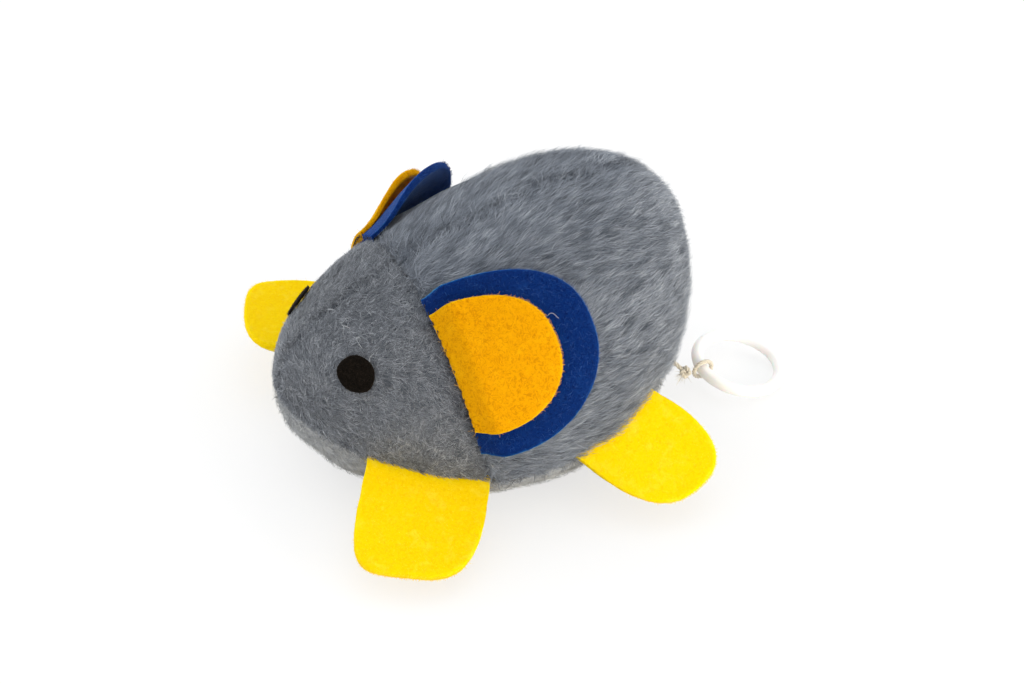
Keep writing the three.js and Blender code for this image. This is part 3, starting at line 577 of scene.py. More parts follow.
@dataclass(frozen=True)
class BackingFinish(Finish):
    """The matted nap that the loose pile stands on, seen between the fibres."""

    dark: Colour
    light: Colour
    combed: float = 1.0
    raised: float = 0.4
    # Painted shade laid along the seams, where the ground creases in.
    stitched: Colour = rgb(46, 48, 53)

    def paint(self, bench: Bench) -> None:
        """Makes a nap, combed one way or matted every way, and paints shade into it along its seams, where the ground
        creases in.

        Args:
            bench: its new material's bench.
        """
        at = bench.place(stretch=(1, self.combed, 1))
        strands = bench.noise(at, 1150, 6, 1.6)
        fine = bench.noise(at, 4200, 3, 0.8)
        patches = bench.noise(bench.place(), 140, 3, 0.3)
        stops = [(0.3, self.dark), (0.5, halfway(self.dark, self.light)), (0.72, self.light)]
        nap = bench.ramp(strands, stops)
        nap = bench.mix(bench.between(fine, 0.35, 0.7, 0.0, 0.35), nap, self.light)
        nap = bench.mix(bench.between(patches, 0.42, 0.7, 0.0, 0.15), nap, self.dark)
        # Painted shade: the nap is darkened near the seams, in the crease.
        seam = bench.add("Attribute")
        seam.attribute_name = CoverPanel.SEAM
        sewn = bench.between(seam.outputs["Fac"], 0.1, 0.9, 0.0, 0.75)
        bench.set(Base_Color=bench.mix(sewn, nap, self.stitched))
        bench.bump(bench.mix(1.0, strands, fine, "LIGHTEN"), self.raised, 0.6)
        bench.set(Roughness=0.95, Sheen_Weight=0.35, Sheen_Roughness=0.5, Specular_IOR_Level=0.1)


@dataclass(frozen=True)
class FeltFinish(Finish):
    """Matted felt: cloudy in the large, flecked in the small, with fibres that lie every way."""

    base: Colour
    pale: Colour
    deep: Colour
    cloud: float = 0.3
    fleck: float = 0.5
    sheen: float = 0.08
    glow: float = 0.45
    haze: Colour = WHITE
    # A paler colour for the loose fibres, painted light for fuzz lit from behind.
    fluff: Optional[Colour] = None

    def paint(self, bench: Bench) -> None:
        """Makes clouds, swirls and flecks, and fibres that cross.

        Args:
            bench: its new material's bench.
        """
        at = bench.place()
        swirls = bench.noise(at, 780, 6, 2.6)
        fine = bench.noise(at, 2900, 4, 1.8)
        clouds = bench.noise(at, 330, 3, 0.6)
        ground = bench.mix(bench.between(clouds, 0.52, 0.76, 0.0, self.cloud), self.base, self.pale)
        ground = bench.mix(bench.between(swirls, 0.47, 0.68, 0.0, self.fleck), ground, self.deep)
        flecks = bench.between(fine, 0.54, 0.74, 0.0, self.fleck * 0.8)
        bench.set(Base_Color=bench.mix(flecks, ground, self.pale))
        one = bench.noise(bench.place(stretch=(1, 0.18, 1), turned=(0.5, 0.2, 0.7)), 3600, 3, 1.5)
        two = bench.noise(bench.place(stretch=(0.18, 1, 1), turned=(0.2, 0.6, -0.5)), 3600, 3, 1.5)
        bench.bump(bench.mix(1.0, one, two, "LIGHTEN"), 0.25, 0.7)
        bench.set(Roughness=1.0, Sheen_Weight=self.sheen, Sheen_Roughness=0.4, Specular_IOR_Level=0.02)
        bench.set(Sheen_Tint=self.haze)
        bench.set(Subsurface_Weight=self.glow, Subsurface_Scale=0.003, Subsurface_Radius=WHITE)

    def fuzz(self) -> PileFinish:
        """The finish of the loose fibres on this felt."""
        # The fuzz runs from the felt's colour to its pale or, where given, to the paler fuzz colour, which is painted
        # light.
        base, light = self.base, self.fluff or self.pale
        return PileFinish(self.name + "_fuzz", base, halfway(base, light), light, 1.0, 1.0, self.sheen)


@dataclass(frozen=True)
class YarnFinish(Finish):
    """Twisted cord: plies with fine fibres along the twist."""

    base: Colour
    shade: Colour

    def paint(self, bench: Bench) -> None:
        """Makes fine fibres and a little soil.

        Args:
            bench: its new material's bench.
        """
        at = bench.place(stretch=(1, 0.4, 1))
        fibres = bench.noise(at, 5200, 4, 2.0)
        soil = bench.noise(at, 380, 3)
        fine = bench.ramp(fibres, [(0.3, self.shade), (0.62, self.base)])
        bench.set(Base_Color=bench.mix(bench.between(soil, 0.5, 0.8, 0.0, 0.35), fine, self.shade))
        bench.bump(fibres, 0.12, 0.6)
        bench.set(Roughness=0.9, Sheen_Weight=0.2, Specular_IOR_Level=0.25)

    def fray(self) -> PileFinish:
        """The finish of the cord's loose ends."""
        return PileFinish(self.name + "_fray", self.shade, self.base, self.base, 0.9, 0.9, 0.1)


@dataclass(frozen=True)
class WeaveFinish(Finish):
    """Thin plain-woven cloth."""

    base: Colour
    shade: Colour
    threads: float = 1100

    def paint(self, bench: Bench) -> None:
        """Makes threads both ways, and slubs.

        Args:
            bench: its new material's bench.
        """
        ways = []
        for axis in ("X", "Z"):
            wave = bench.add("TexWave", Vector=bench.place(), Scale=self.threads / 3, Distortion=0.6)
            wave.bands_direction = axis
            ways.append(wave.outputs["Color"])
        weave = bench.mix(1.0, ways[0], ways[1], "MULTIPLY")
        slubs = bench.noise(bench.place(stretch=(1, 1, 0.2)), 900, 3)
        bench.set(Base_Color=bench.mix(bench.between(slubs, 0.4, 0.75, 0.0, 0.6), self.base, self.shade))
        bench.bump(weave, 0.12, 0.6)
        bench.set(Roughness=0.9, Sheen_Weight=0.15, Specular_IOR_Level=0.25)


@dataclass(frozen=True)
class FillFinish(Finish):
    """Loose fibre filling, white with soft shadows in its tufts."""

    base: Colour
    shade: Colour

    def paint(self, bench: Bench) -> None:
        """Makes tufts and wisps.

        Args:
            bench: its new material's bench.
        """
        tufts = bench.noise(bench.place(), 260, 5, 1.4)
        wisps = bench.noise(bench.place(stretch=(1, 0.25, 1)), 1800, 4, 2.0)
        bench.set(Base_Color=bench.mix(bench.between(tufts, 0.35, 0.7, 0.0, 0.8), self.base, self.shade))
        bench.bump(wisps, 0.6, 0.6)
        bench.set(Roughness=1.0, Sheen_Weight=0.2, Specular_IOR_Level=0.1)


@dataclass(frozen=True)
class HardFinish(Finish):
    """A hard surface, moulded or turned, with the small unevenness of its making."""

    base: Colour
    worn: Colour
    grain: Grain
    rough: float
    metal: float = 0.0
    milk: float = 0.0

    def paint(self, bench: Bench) -> None:
        """Makes a fine grain and worn patches.

        Args:
            bench: its new material's bench.
        """
        stretch, marks = self.grain.value
        fine = bench.noise(bench.place(stretch), marks, 3)
        patches = bench.noise(bench.place(), 160, 3)
        bench.set(Base_Color=bench.mix(bench.between(patches, 0.4, 0.75, 0.0, 0.6), self.base, self.worn))
        bench.set(Roughness=bench.between(patches, 0.3, 0.7, self.rough * 0.85, min(1, self.rough * 1.2)))
        bench.bump(fine, 0.02, 0.35)
        bench.set(Metallic=self.metal, Subsurface_Weight=self.milk, Subsurface_Scale=0.004)


GREY_PILE = PileFinish("grey_pile", rgb(66, 72, 82), rgb(128, 135, 146), rgb(186, 192, 201))
HEAD_PILE = PileFinish("head_pile", rgb(54, 58, 66), rgb(117, 122, 130), rgb(186, 190, 196))
BELLY_PILE = PileFinish("belly_pile", rgb(116, 118, 121), rgb(166, 168, 169), rgb(208, 209, 208))
FLANK_NAP = BackingFinish("flank_nap", rgb(68, 74, 84), rgb(140, 147, 158), 0.25)
HEAD_NAP = BackingFinish("head_nap", rgb(68, 72, 80), rgb(142, 146, 153), 0.8)
BELLY_NAP = BackingFinish("belly_nap", rgb(112, 115, 119), rgb(172, 174, 176), 0.6)
# Its paler fuzz colour is painted light, for fuzz lit from behind.
BLUE_FELT = FeltFinish(
    "blue_felt_sheet", rgb(8, 38, 99), rgb(32, 74, 144), rgb(5, 21, 66), 0.3, 0.65, 0.3,
    glow=0.6, haze=(0.3, 0.5, 1.0), fluff=rgb(44, 84, 152),
)
ORANGE_FELT = FeltFinish(
    "orange_felt_sheet", rgb(222, 156, 4), rgb(242, 180, 16), rgb(182, 108, 2), 0.4, 0.75, 0.03
)
YELLOW_FELT = FeltFinish(
    "yellow_felt_sheet", rgb(247, 207, 1), rgb(254, 227, 72), rgb(234, 176, 1), 0.35, 0.45, 0.02
)
DARK_FELT = FeltFinish("dark_felt_sheet", rgb(17, 14, 11), rgb(42, 34, 27), rgb(6, 5, 4), 0.3, 0.6, 0.05)
CORD_YARN = YarnFinish("cord_yarn_twist", rgb(234, 228, 214), rgb(190, 178, 156))
DARK_THREAD = YarnFinish("dark_thread", rgb(44, 40, 40), rgb(18, 17, 18))
LINT = PileFinish("pale_lint", rgb(176, 180, 184), rgb(204, 207, 209), rgb(232, 233, 233), 0.95)
FILLING = FillFinish("fibre_filling", rgb(240, 238, 232), rgb(206, 204, 198))
SACHET_CLOTH = WeaveFinish("sachet_weave", rgb(207, 198, 168), rgb(168, 158, 122))
RING_PLASTIC = HardFinish(
    "ring_milky_plastic", rgb(247, 247, 245), rgb(240, 240, 236), Grain.MOULDED, 0.32, 0.0, 0.35
)
CASE_PLASTIC = HardFinish(
    "case_matte_plastic", rgb(217, 217, 214), rgb(198, 198, 194), Grain.MOULDED, 0.55
)
GEAR_PLASTIC = HardFinish(
    "gear_satin_plastic", rgb(240, 234, 216), rgb(224, 216, 194), Grain.MOULDED, 0.4
)
PLAIN_STEEL = HardFinish("plain_steel", rgb(184, 186, 189), rgb(150, 152, 156), Grain.TURNED, 0.32, 1.0)
EYELET_BRASS = HardFinish("eyelet_brass_metal", rgb(201, 162, 74), rgb(160, 122, 48), Grain.TURNED, 0.3, 1.0)
NAPS = {Cover.HEAD: HEAD_NAP, Cover.FLANK: FLANK_NAP, Cover.BELLY: BELLY_NAP}
PILES = {Cover.HEAD: HEAD_PILE, Cover.FLANK: GREY_PILE, Cover.BELLY: BELLY_PILE}


@dataclass(frozen=True)
class MouseShape:
    """The stuffed body's outside in millimetres, by share from nose to rear and angle round from the left."""

    length: float = 104.0
    half_width: float = 41.8
    back_rise: float = 45.5
    nose_height: float = 23.9
    side_height: float = 14.7
    rump_height: float = 41.3
    chin_length: float = 31.2
    rump_length: float = 35.4
    belly_flat: float = 0.5
    width_swell: Span = (0.616, 0.509)
    back_swell: Span = (0.585, 0.479)
    back_fullness: float = 2.0
    belly_fullness: float = 2.2
    seam_top: float = 31.2
    seam_side: float = 37.4
    seam_angle: float = math.radians(-3)
    belly_round: float = 18.7
    belly_setback: float = 8.3
    pole: float = 0.00003
    lump: float = 0.3
    off_floor: float = 0.06

    @staticmethod
    def swell(share: Array, ends: Span) -> Array:
        """How wide or high the body is at a share, from 0 at its ends to 1 where it is fullest."""
        peak = ends[0] / (ends[0] + ends[1])
        return (share / peak) ** ends[0] * ((1 - share) / (1 - peak)) ** ends[1]

    @staticmethod
    def _round(t: Array) -> Array:
        """A quarter circle's fall, from 0 at 0 to 1 at 1."""
        return 1 - np.sqrt(np.maximum(0, 1 - t * t))

    def side_line(self, share: Array) -> Array:
        """Height of the line along the body's sides."""
        nose = self.nose_height * (1 - share) * (1 - 2 * share)
        return nose + self.side_height * 4 * share * (1 - share) + self.rump_height * share * (2 * share - 1)

    def belly_line(self, share: Array) -> Array:
        """The line along the belly.

        Args:
            share: from nose to rear.

        Returns:
            Its heights.
        """
        run = share * self.length
        chin = np.maximum(0, 1 - run / self.chin_length)
        rump = np.maximum(0, 1 - (self.length - run) / self.rump_length)
        ends = self.nose_height * self._round(chin) + self.rump_height * self._round(rump)
        return ends - self.belly_flat * (1 - chin) * (1 - rump)

    def skin(self, share: Array, angle: Array) -> Array:
        """Points on the plain outside.

        Args:
            share: from nose to rear.
            angle: angles round from the left side, upward.

        Returns:
            The points, along a new last axis.
        """
        share = np.clip(share, self.pole, 1 - self.pole)
        low = np.sin(angle) < 0
        power = 2 / np.where(low, self.belly_fullness, self.back_fullness)
        across = np.sign(np.cos(angle)) * np.abs(np.cos(angle)) ** power
        upward = np.sign(np.sin(angle)) * np.abs(np.sin(angle)) ** power
        width = self.half_width * self.swell(share, self.width_swell)
        rise = self.back_rise * self.swell(share, self.back_swell)
        side = self.side_line(share)
        tall = np.where(low, side - self.belly_line(share), rise)
        return np.stack([width * across, (share - 0.5) * self.length, side + upward * tall], -1)

    def slopes(self, share: Array, angle: Array) -> tuple[Array, Array, Array, Array]:
        """The skin's directions at places on it.

        Args:
            share: from nose to rear.
            angle: round from the left side.

        Returns:
            How far a point moves with share and with angle, the outward normal, and the points.
        """
        step = 2e-4
        share = np.clip(share, self.pole + step, 1 - self.pole - step)
        along = (self.skin(share + step, angle) - self.skin(share - step, angle)) / (2 * step)
        around = (self.skin(share, angle + step) - self.skin(share, angle - step)) / (2 * step)
        return along, around, unit(np.cross(along, around)), self.skin(share, angle)

    def stuffed(self, share: Array, angle: Array, height: Array) -> Array:
        """Points off the skin, with the lumps that the stuffing gives it.

        Args:
            share: from nose to rear.
            angle: round from the left side.
            height: how far outside the skin.

        Returns:
            The points.
        """
        _, _, normal, point = self.slopes(share, angle)
        x, y, z = point[..., 0], point[..., 1], point[..., 2]
        wave = np.sin(x * 0.21 + y * 0.13 + 0.7) * np.sin(z * 0.27 - y * 0.17 + 1.9)
        wave = wave + 0.6 * np.sin(y * 0.37 + z * 0.19 + 0.3) * np.sin(x * 0.33 - z * 0.23 + 2.2)
        made = point + normal * (height + self.lump * (wave - 0.6))[..., None]
        made[..., 2] = np.maximum(made[..., 2], self.off_floor)
        return made

    def head_seam(self, angle: Array) -> Array:
        """Share where the head's plush ends."""
        down = np.minimum(1, (QUARTER - np.minimum(angle, math.pi - angle)) / (QUARTER - self.seam_angle))
        return (self.seam_top + (self.seam_side - self.seam_top) * down * down) / self.length

    def belly_seam(self, share: Array) -> Array:
        """Angle where the belly's plush ends on the left."""
        along = np.maximum(0, (share - self.belly_end) * self.length / self.belly_round + 1)
        return -QUARTER + (self.seam_angle + QUARTER) * np.sqrt(np.maximum(0, 1 - along * along))

    @property
    def belly_end(self) -> float:
        """Share where the belly's plush closes to a point."""
        return (self.length - self.belly_setback) / self.length


SHAPE = MouseShape()


@dataclass
class Pile:
    """Fibres as thin tapered ribbons, in one mesh, with a map of root to tip and shade."""

    MAP = "OFBake"
    name: str
    lines: Array
    facing: Array
    width: Array
    shade: Array
    tip: float = 0.25
    twist: float = 0.35
    taper: float = 1.5
    map_edge: float = 0.01
    map_width: float = 0.004

    def build(self, finish: PileFinish, slot: str, seed: int) -> Piece:
        """Makes the mesh and dresses it.

        Args:
            finish: the fibres' finish.
            slot: the record's slot.
            seed: seed for each ribbon's twist.

        Returns:
            The piece.
        """
        rng = np.random.default_rng(seed)
        count, rings = self.lines.shape[:2]
        along = unit(np.gradient(self.lines, axis=1))
        side = unit(np.cross(along, self.facing[:, None, :]))
        lift = unit(np.cross(side, along))
        twist = rng.uniform(-self.twist, self.twist, count)[:, None, None]
        across = side * np.cos(twist) + lift * np.sin(twist)
        share = np.linspace(0, 1, rings)
        half = 0.5 * self.width[:, None] * (1 - (1 - self.tip) * share ** self.taper)[None, :]
        pair = np.stack([self.lines - across * half[..., None], self.lines + across * half[..., None]], 2)
        first = np.arange(count)[:, None] * rings * 2 + np.arange(rings - 1)[None, :] * 2
        quads = np.stack([first, first + 1, first + 3, first + 2], -1).reshape(-1, 4)
        made = mesh_object(self.name, pair.reshape(-1, 3), quads)
        u = np.broadcast_to(self.map_edge + (1 - 2 * self.map_edge) * share[None, :, None], pair.shape[:3])
        v = np.clip(self.shade, self.map_edge, 1 - self.map_edge)[:, None, None]
        v = v + np.array([-self.map_width, self.map_width])[None, None, :]
        spots = np.stack([u, np.broadcast_to(v, pair.shape[:3])], -1).reshape(-1, 2)
        layer = made.data.uv_layers.new(name=self.MAP)
        corner = np.zeros(len(made.data.loops), np.int32)
        made.data.loops.foreach_get("vertex_index", corner)
        layer.data.foreach_set("uv", spots[corner].astype(np.float32).ravel())
        return dress(made, finish, slot)


def gather(lines: Array, shade: Array, group: int, pull: float, rng: Rng) -> tuple[Array, Array]:
    """Draws fibres together into tufts.

    Args:
        lines: fibres, as rows of points.
        shade: a shade for each.
        group: about how many make a tuft.
        pull: how far a tip is drawn to its tuft's tip.
        rng: the random numbers.

    Returns:
        The drawn fibres, and their shades drawn together likewise.
    """
    count = len(lines)
    leaders = rng.choice(count, max(1, count // group), replace=False)
    tree = KDTree(len(leaders))
    for i, leader in enumerate(leaders):
        tree.insert(lines[leader, 0], i)
    tree.balance()
    nearest = leaders[np.array([tree.find(p)[1] for p in lines[:, 0]])]
    share = np.linspace(0, 1, lines.shape[1])[None, :, None] ** 1.4
    own = rng.uniform(0.35, 1.0, (count, 1, 1)) * pull
    return lines + (lines[nearest] - lines) * share * own, 0.5 * shade + 0.5 * shade[nearest]


@dataclass
class CoverPanel:
    """One cut of plush: its ground, sewn down along its seams, and the pile on it."""

    SEAM = "seam"
    cut: Cover
    side: Optional[Side]
    fibres: int
    fibre_length: Span
    tip_height: Span
    fibre_width: Span
    rings: int
    tuft: int
    pull: float
    seed: int
    ground_depth: float = 0.6
    seam_depth: float = 0.8
    seam_width: float = 0.6
    pull_in: float = 0.45
    pull_width: float = 3.0
    pucker: float = 0.35
    backing_depth: float = 2.15
    rows: int = 110
    columns: int = 120
    comb: float = 0.1
    stray: float = 0.22
    swirl: float = 0.3
    long_share: float = 0.1
    long_height: float = 0.7
    mottle: float = 0.06
    shade_spread: float = 0.26
    # How much darker fibres near a seam are painted: painted shade in the crease.
    seam_shade: float = 0.3
    seam_ruffle: Span = (1.3, 2.2)
    end_ruffle: Span = (1.6, 4.0)
    bare_edge: float = 0.35
    off_floor: float = 0.1
    cells: int = 160

    @property
    def name(self) -> str:
        """The CAD node that this panel stands for."""
        return f"{self.side.word}_{self.cut.value}_panel" if self.side else f"{self.cut.value}_panel"

    def places(self, u: Array, v: Array) -> tuple[Array, Array]:
        """Share and angle of places on the cut, on the left or, for the belly, across it.

        Args:
            u: 0 at its front to 1 at its rear.
            v: 0 at its lower edge to 1 at its upper edge.

        Returns:
            Shares and angles.
        """
        low, top = SHAPE.seam_angle, QUARTER
        if self.cut is Cover.HEAD:
            angle = low + (top - low) * v
            return SHAPE.pole + (SHAPE.head_seam(angle) - SHAPE.pole) * u ** 1.4, angle
        if self.cut is Cover.FLANK:
            start = SHAPE.head_seam(low + (top - low) * v)
            share = 1 - SHAPE.pole - (1 - SHAPE.pole - start) * (1 - u) ** 1.3
            edge = SHAPE.belly_seam(share)
            return share, edge + (top - edge) * v
        share = SHAPE.pole + (SHAPE.belly_end - 0.002 - SHAPE.pole) * (u ** 1.3)
        edge = SHAPE.belly_seam(share)
        return share, edge + (-math.pi - 2 * edge) * v

    def from_seam(self, share: Array, angle: Array) -> Array:
        """How far places are from the nearest seam of this cut.

        Args:
            share: from nose to rear.
            angle: round from the left side.

        Returns:
            The distances.
        """
        _, around, _, _ = SHAPE.slopes(share, angle)
        turn_length = np.linalg.norm(around, axis=-1)
        if self.cut is Cover.BELLY:
            edge = SHAPE.belly_seam(share)
            left, right = (edge - angle) * turn_length, (angle + math.pi + edge) * turn_length
            return np.maximum(0, np.minimum(left, right))
        seam = SHAPE.head_seam(angle)
        front = (seam - share) if self.cut is Cover.HEAD else (share - seam)
        low = SHAPE.seam_angle if self.cut is Cover.HEAD else SHAPE.belly_seam(share)
        edges = np.minimum((QUARTER - angle) * turn_length, (angle - low) * turn_length)
        return np.maximum(0, np.minimum(front * SHAPE.length, edges))

    def depth(self, share: Array, angle: Array) -> Array:
        """How far under the skin the ground lies: deeper where a seam draws it in.

        Args:
            share: from nose to rear.
            angle: round from the left side.

        Returns:
            The depths.
        """
        off = self.from_seam(share, angle)
        puckers = 1 + self.pucker * np.sin(share * 160) * np.cos(angle * 31)
        tight = self.seam_depth * fading(off, self.seam_width)
        return self.ground_depth + tight + self.pull_in * puckers * fading(off, self.pull_width)

    @staticmethod
    def spaced(count: int) -> Array:
        """Places from 0 to 1 that stand closer together near the ends, where the seams are."""
        t = np.linspace(0, 1, count)
        return t - 0.8 * np.sin(2 * math.pi * t) / (2 * math.pi)

    def sided(self, points: Array) -> Array:
        """Points on this panel's own side of the mouse."""
        return self.side.put(points) if self.side else points

    def close(self, points: Array) -> Array:
        """Draws the row of points round the nose or the tail together.

        Args:
            points: the cut's points, in rows.

        Returns:
            The points, in one list.
        """
        if self.cut is not Cover.BELLY:
            row = 0 if self.cut is Cover.HEAD else -1
            ends = (points[row, 0] + points[row, -1]) / 2
            points[row] = (0.0, points[row, :, 1].mean(), ends[2])
        return points.reshape(-1, 3)

    def ground(self) -> Piece:
        """The ground, as a closed sheet under the pile.

        Returns:
            The piece, which replaces its CAD node.
        """
        u, v = np.meshgrid(self.spaced(self.rows), self.spaced(self.columns), indexing="ij")
        share, angle = self.places(u, v)
        outer = self.close(SHAPE.stuffed(share, angle, -self.depth(share, angle)))
        inner = self.close(SHAPE.stuffed(share, angle, np.full(share.shape, -self.backing_depth - 0.1)))
        faces = grid_faces(self.rows, self.columns)
        number = np.arange(self.rows * self.columns).reshape(self.rows, self.columns)
        ring = np.concatenate([number[0], number[1:, -1], number[-1, -2::-1], number[-2:0:-1, 0]])
        after = np.roll(ring, -1)
        rim = np.stack([ring, ring + len(outer), after + len(outer), after], -1)
        points = self.sided(np.concatenate([outer, inner]))
        quads = np.concatenate([faces[:, ::-1], faces + len(outer), rim[:, ::-1]])
        if self.side is Side.RIGHT:
            quads = quads[:, ::-1]
        piece = new_piece(self.name + "_ground", points, quads, NAPS[self.cut], self.cut.slot)
        # Nearness to the seams, which the nap's material turns into painted shade in the crease.
        near = fading(self.from_seam(share, angle), self.seam_width).ravel()
        mark = piece.data.attributes.new(self.SEAM, "FLOAT", "POINT")
        mark.data.foreach_set("value", np.concatenate([near, np.zeros(len(inner))]))
        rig.replaces(piece, self.name)
        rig.ride(piece, "body")
        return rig.padded(piece, fill=0.85)

    def roots(self, rng: Rng) -> tuple[Array, Array]:
        """Places for the fibres, spread evenly over the cut.

        Args:
            rng: the random numbers.

        Returns:
            Shares and angles, on the left or across the belly.
        """
        cells = self.cells
        edge = np.linspace(0, 1, cells + 1)
        u, v = np.meshgrid(edge, edge, indexing="ij")
        corner = SHAPE.skin(*self.places(u, v))
        across = np.cross(corner[1:, 1:] - corner[:-1, :-1], corner[1:, :-1] - corner[:-1, 1:])
        area = np.linalg.norm(across, axis=-1).ravel()
        pick = rng.choice(cells * cells, self.fibres, p=area / area.sum())
        u = (pick // cells + rng.uniform(0, 1, self.fibres)) / cells
        v = (pick % cells + rng.uniform(0, 1, self.fibres)) / cells
        return self.places(u, v)

    def pile(self, bare: Callable[[Array], Array], low: Callable[[Array, Array], Array]) -> Piece:
        """The pile: fibres combed toward the tail, drawn into tufts.

        Args:
            bare: tells which points, on the panel's own side, carry no pile.
            low: tells the most that a fibre may stand off the skin at a share and angle.

        Returns:
            The piece.
        """
        rng = np.random.default_rng(self.seed)
        share, angle = self.roots(rng)
        keep = ~bare(self.sided(SHAPE.skin(share, angle))) & (self.from_seam(share, angle) > self.bare_edge)
        share, angle = share[keep], angle[keep]
        count = len(share)
        along, around, normal, point = SHAPE.slopes(share, angle)
        x, y, z = point[:, 0], point[:, 1], point[:, 2]
        wander = np.sin(y * 0.11 + z * 0.16 + self.seed) + np.sin(z * 0.23 - x * 0.14 + 1.3 * self.seed)
        off = self.from_seam(share, angle)
        axis_off = np.hypot(x, z - SHAPE.side_line(share))
        ruffled = self.stray
        for (most, wide), away in ((self.seam_ruffle, off), (self.end_ruffle, axis_off)):
            ruffled = ruffled + most * fading(away, wide)
        heading = self.comb + 0.5 * self.swirl * wander + rng.normal(0, 1, count) * ruffled
        length = rng.uniform(*self.fibre_length, count)
        tip = rng.uniform(*self.tip_height, count)
        tip = tip + self.long_height * rng.uniform(0, 1, count) * (rng.uniform(0, 1, count) < self.long_share)
        near = fading(off, 1.4 * self.seam_width)
        tip = np.minimum(tip - 0.9 * self.seam_depth * near, low(share, angle))
        root = -self.depth(share, angle)
        run = np.linspace(0, 1, self.rings)[None, :]
        step = length[:, None] * run
        shares = share[:, None] + np.cos(heading)[:, None] * step / np.linalg.norm(along, axis=1)[:, None]
        angles = angle[:, None] + np.sin(heading)[:, None] * step / np.linalg.norm(around, axis=1)[:, None]
        rise = np.sin(run * QUARTER) ** 0.9
        height = root[:, None] + (tip - root)[:, None] * rise
        lines = SHAPE.stuffed(np.clip(shares, 0.0004, 0.9996), angles, height)
        # Fibres near a seam are painted darker, as painted shade in the crease.
        shade = rng.normal(0.5, self.shade_spread, count) + self.mottle * wander - self.seam_shade * near
        shade = np.clip(shade, 0, 1)
        lines, shade = gather(lines, shade, self.tuft, self.pull, rng)
        lines[..., 2] = np.maximum(lines[..., 2], self.off_floor)
        width = rng.uniform(*self.fibre_width, count)
        name = self.name.replace("_panel", "_pile")
        fibres = Pile(name, self.sided(lines), self.sided(normal), width, shade)
        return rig.ride(fibres.build(PILES[self.cut], self.cut.slot, self.seed + 7), "body")


@dataclass
class FeltFlap:
    """A cut of felt with a softened rim, built from a function that places its points."""

    name: str
    place: Callable[[Array, Array, Array], Array]
    thickness: float = 1.8
    rows: int = 26
    columns: int = 72
    soft_edge: float = 0.3
    depth_at: Optional[Callable[[Array], Array]] = None
    tuck: float = 1.0
    waver: float = 0.05
    rough: float = 0.015
    fuzz_length: Span = (0.5, 1.4)
    fuzz_lift: float = 0.2
    fuzz_width: Span = (0.04, 0.08)

    def cloth(self) -> tuple[Array, Array]:
        """The flap's closed mesh.

        Returns:
            Points and quads.
        """
        v = 0.5 - 0.5 * np.cos(np.linspace(0, math.pi, self.columns))
        runs = np.linspace(0, 1, self.rows)
        deep = self.depth_at(v) if self.depth_at else np.full(self.columns, 20.0)
        edge = np.minimum(0.4, self.soft_edge / np.maximum(deep, 0.2))
        start = [-self.tuck, -self.tuck / 2]
        lower = [np.full(self.columns, s) for s in start] + [r * (1 - edge) for r in runs]
        rim = [np.ones(self.columns)] * 3
        u = np.stack(lower + rim + lower[::-1])
        rise = np.array([0.0] * len(lower) + [0.2, 0.5, 0.8] + [1.0] * len(lower)) * self.thickness
        h = np.broadcast_to(rise[:, None], u.shape)
        points = self.place(u, np.broadcast_to(v, u.shape), h)
        rings, columns = u.shape
        quads = grid_faces(rings, columns, wrap_rows=True)
        i = np.arange((rings - 3) // 2)
        ends = np.stack([i, i + 1, rings - 2 - i, rings - 1 - i], -1) * columns
        return points.reshape(-1, 3), np.concatenate([quads, ends, ends[:, ::-1] + columns - 1])


def rim_lines(flap: FeltFlap, count: int, rng: Rng) -> tuple[Array, Array]:
    """Loose fibres that stand out of a flap's cut rim.

    Args:
        flap: the cut of felt.
        count: how many fibres.
        rng: the random numbers.

    Returns:
        The fibres, as rows of three points, and the felt's normals there.
    """
    v = rng.uniform(0.004, 0.996, count)
    h = rng.uniform(0.1, 0.95, count) * flap.thickness
    spot = flap.place(np.ones(count), v, h)
    out = unit(spot - flap.place(np.full(count, 0.94), v, h))
    normal = unit(flap.place(np.ones(count), v, h + 0.1) - spot)
    along = np.cross(out, normal) * rng.normal(0, 0.55, (count, 1))
    size = rng.uniform(0.15, 0.6, (count, 1))
    rise = normal * rng.normal(0, 0.25, (count, 1))
    middle = spot + size * (0.55 * out + 0.4 * along + 0.5 * rise)
    end = spot + size * (0.9 * out + along + rise)
    return np.stack([spot - 0.15 * out, middle, end], 1), normal


def scatter(points: Array, quads: Array, count: int, rng: Rng) -> tuple[Array, Array]:
    """Places spread evenly over a mesh.

    Args:
        points: the mesh's points.
        quads: its quads.
        count: how many places.
        rng: the random numbers.

    Returns:
        The places and the normals there.
    """
    a, b, c, d = (points[quads[:, i]] for i in range(4))
    across = np.cross(c - a, d - b)
    area = np.linalg.norm(across, axis=1)
    pick = rng.choice(len(quads), count, p=area / area.sum())
    s, t = rng.uniform(0, 1, (2, count, 1))
    spot = (a[pick] * (1 - s) + b[pick] * s) * (1 - t) + (d[pick] * (1 - s) + c[pick] * s) * t
    return spot, unit(across[pick])


def fuzz_lines(
    spot: Array, normal: Array, length: Span, lift: float, rng: Rng,
) -> Array:
    """Short loose fibres that lie on felt and curl off it.

    Args:
        spot: their roots.
        normal: the felt's normals there.
        length: their least and most length.
        lift: how far they stand up, as a share of their length.
        rng: the random numbers.

    Returns:
        The fibres, as rows of three points.
    """
    count = len(spot)
    way = rng.normal(0, 1, (count, 3))
    way = unit(way - (way * normal).sum(1, keepdims=True) * normal)
    size = rng.uniform(*length, (count, 1))
    curl = unit(np.cross(way, normal)) * rng.normal(0, 0.25, (count, 1))
    rise = rng.uniform(0.2, 1.0, (count, 1)) * lift
    middle = spot + size * (0.5 * way + 0.8 * rise * normal + 0.5 * curl)
    end = spot + size * (way * 0.95 + rise * normal + 1.6 * curl)
    return np.stack([spot - 0.05 * normal, middle, end], 1)


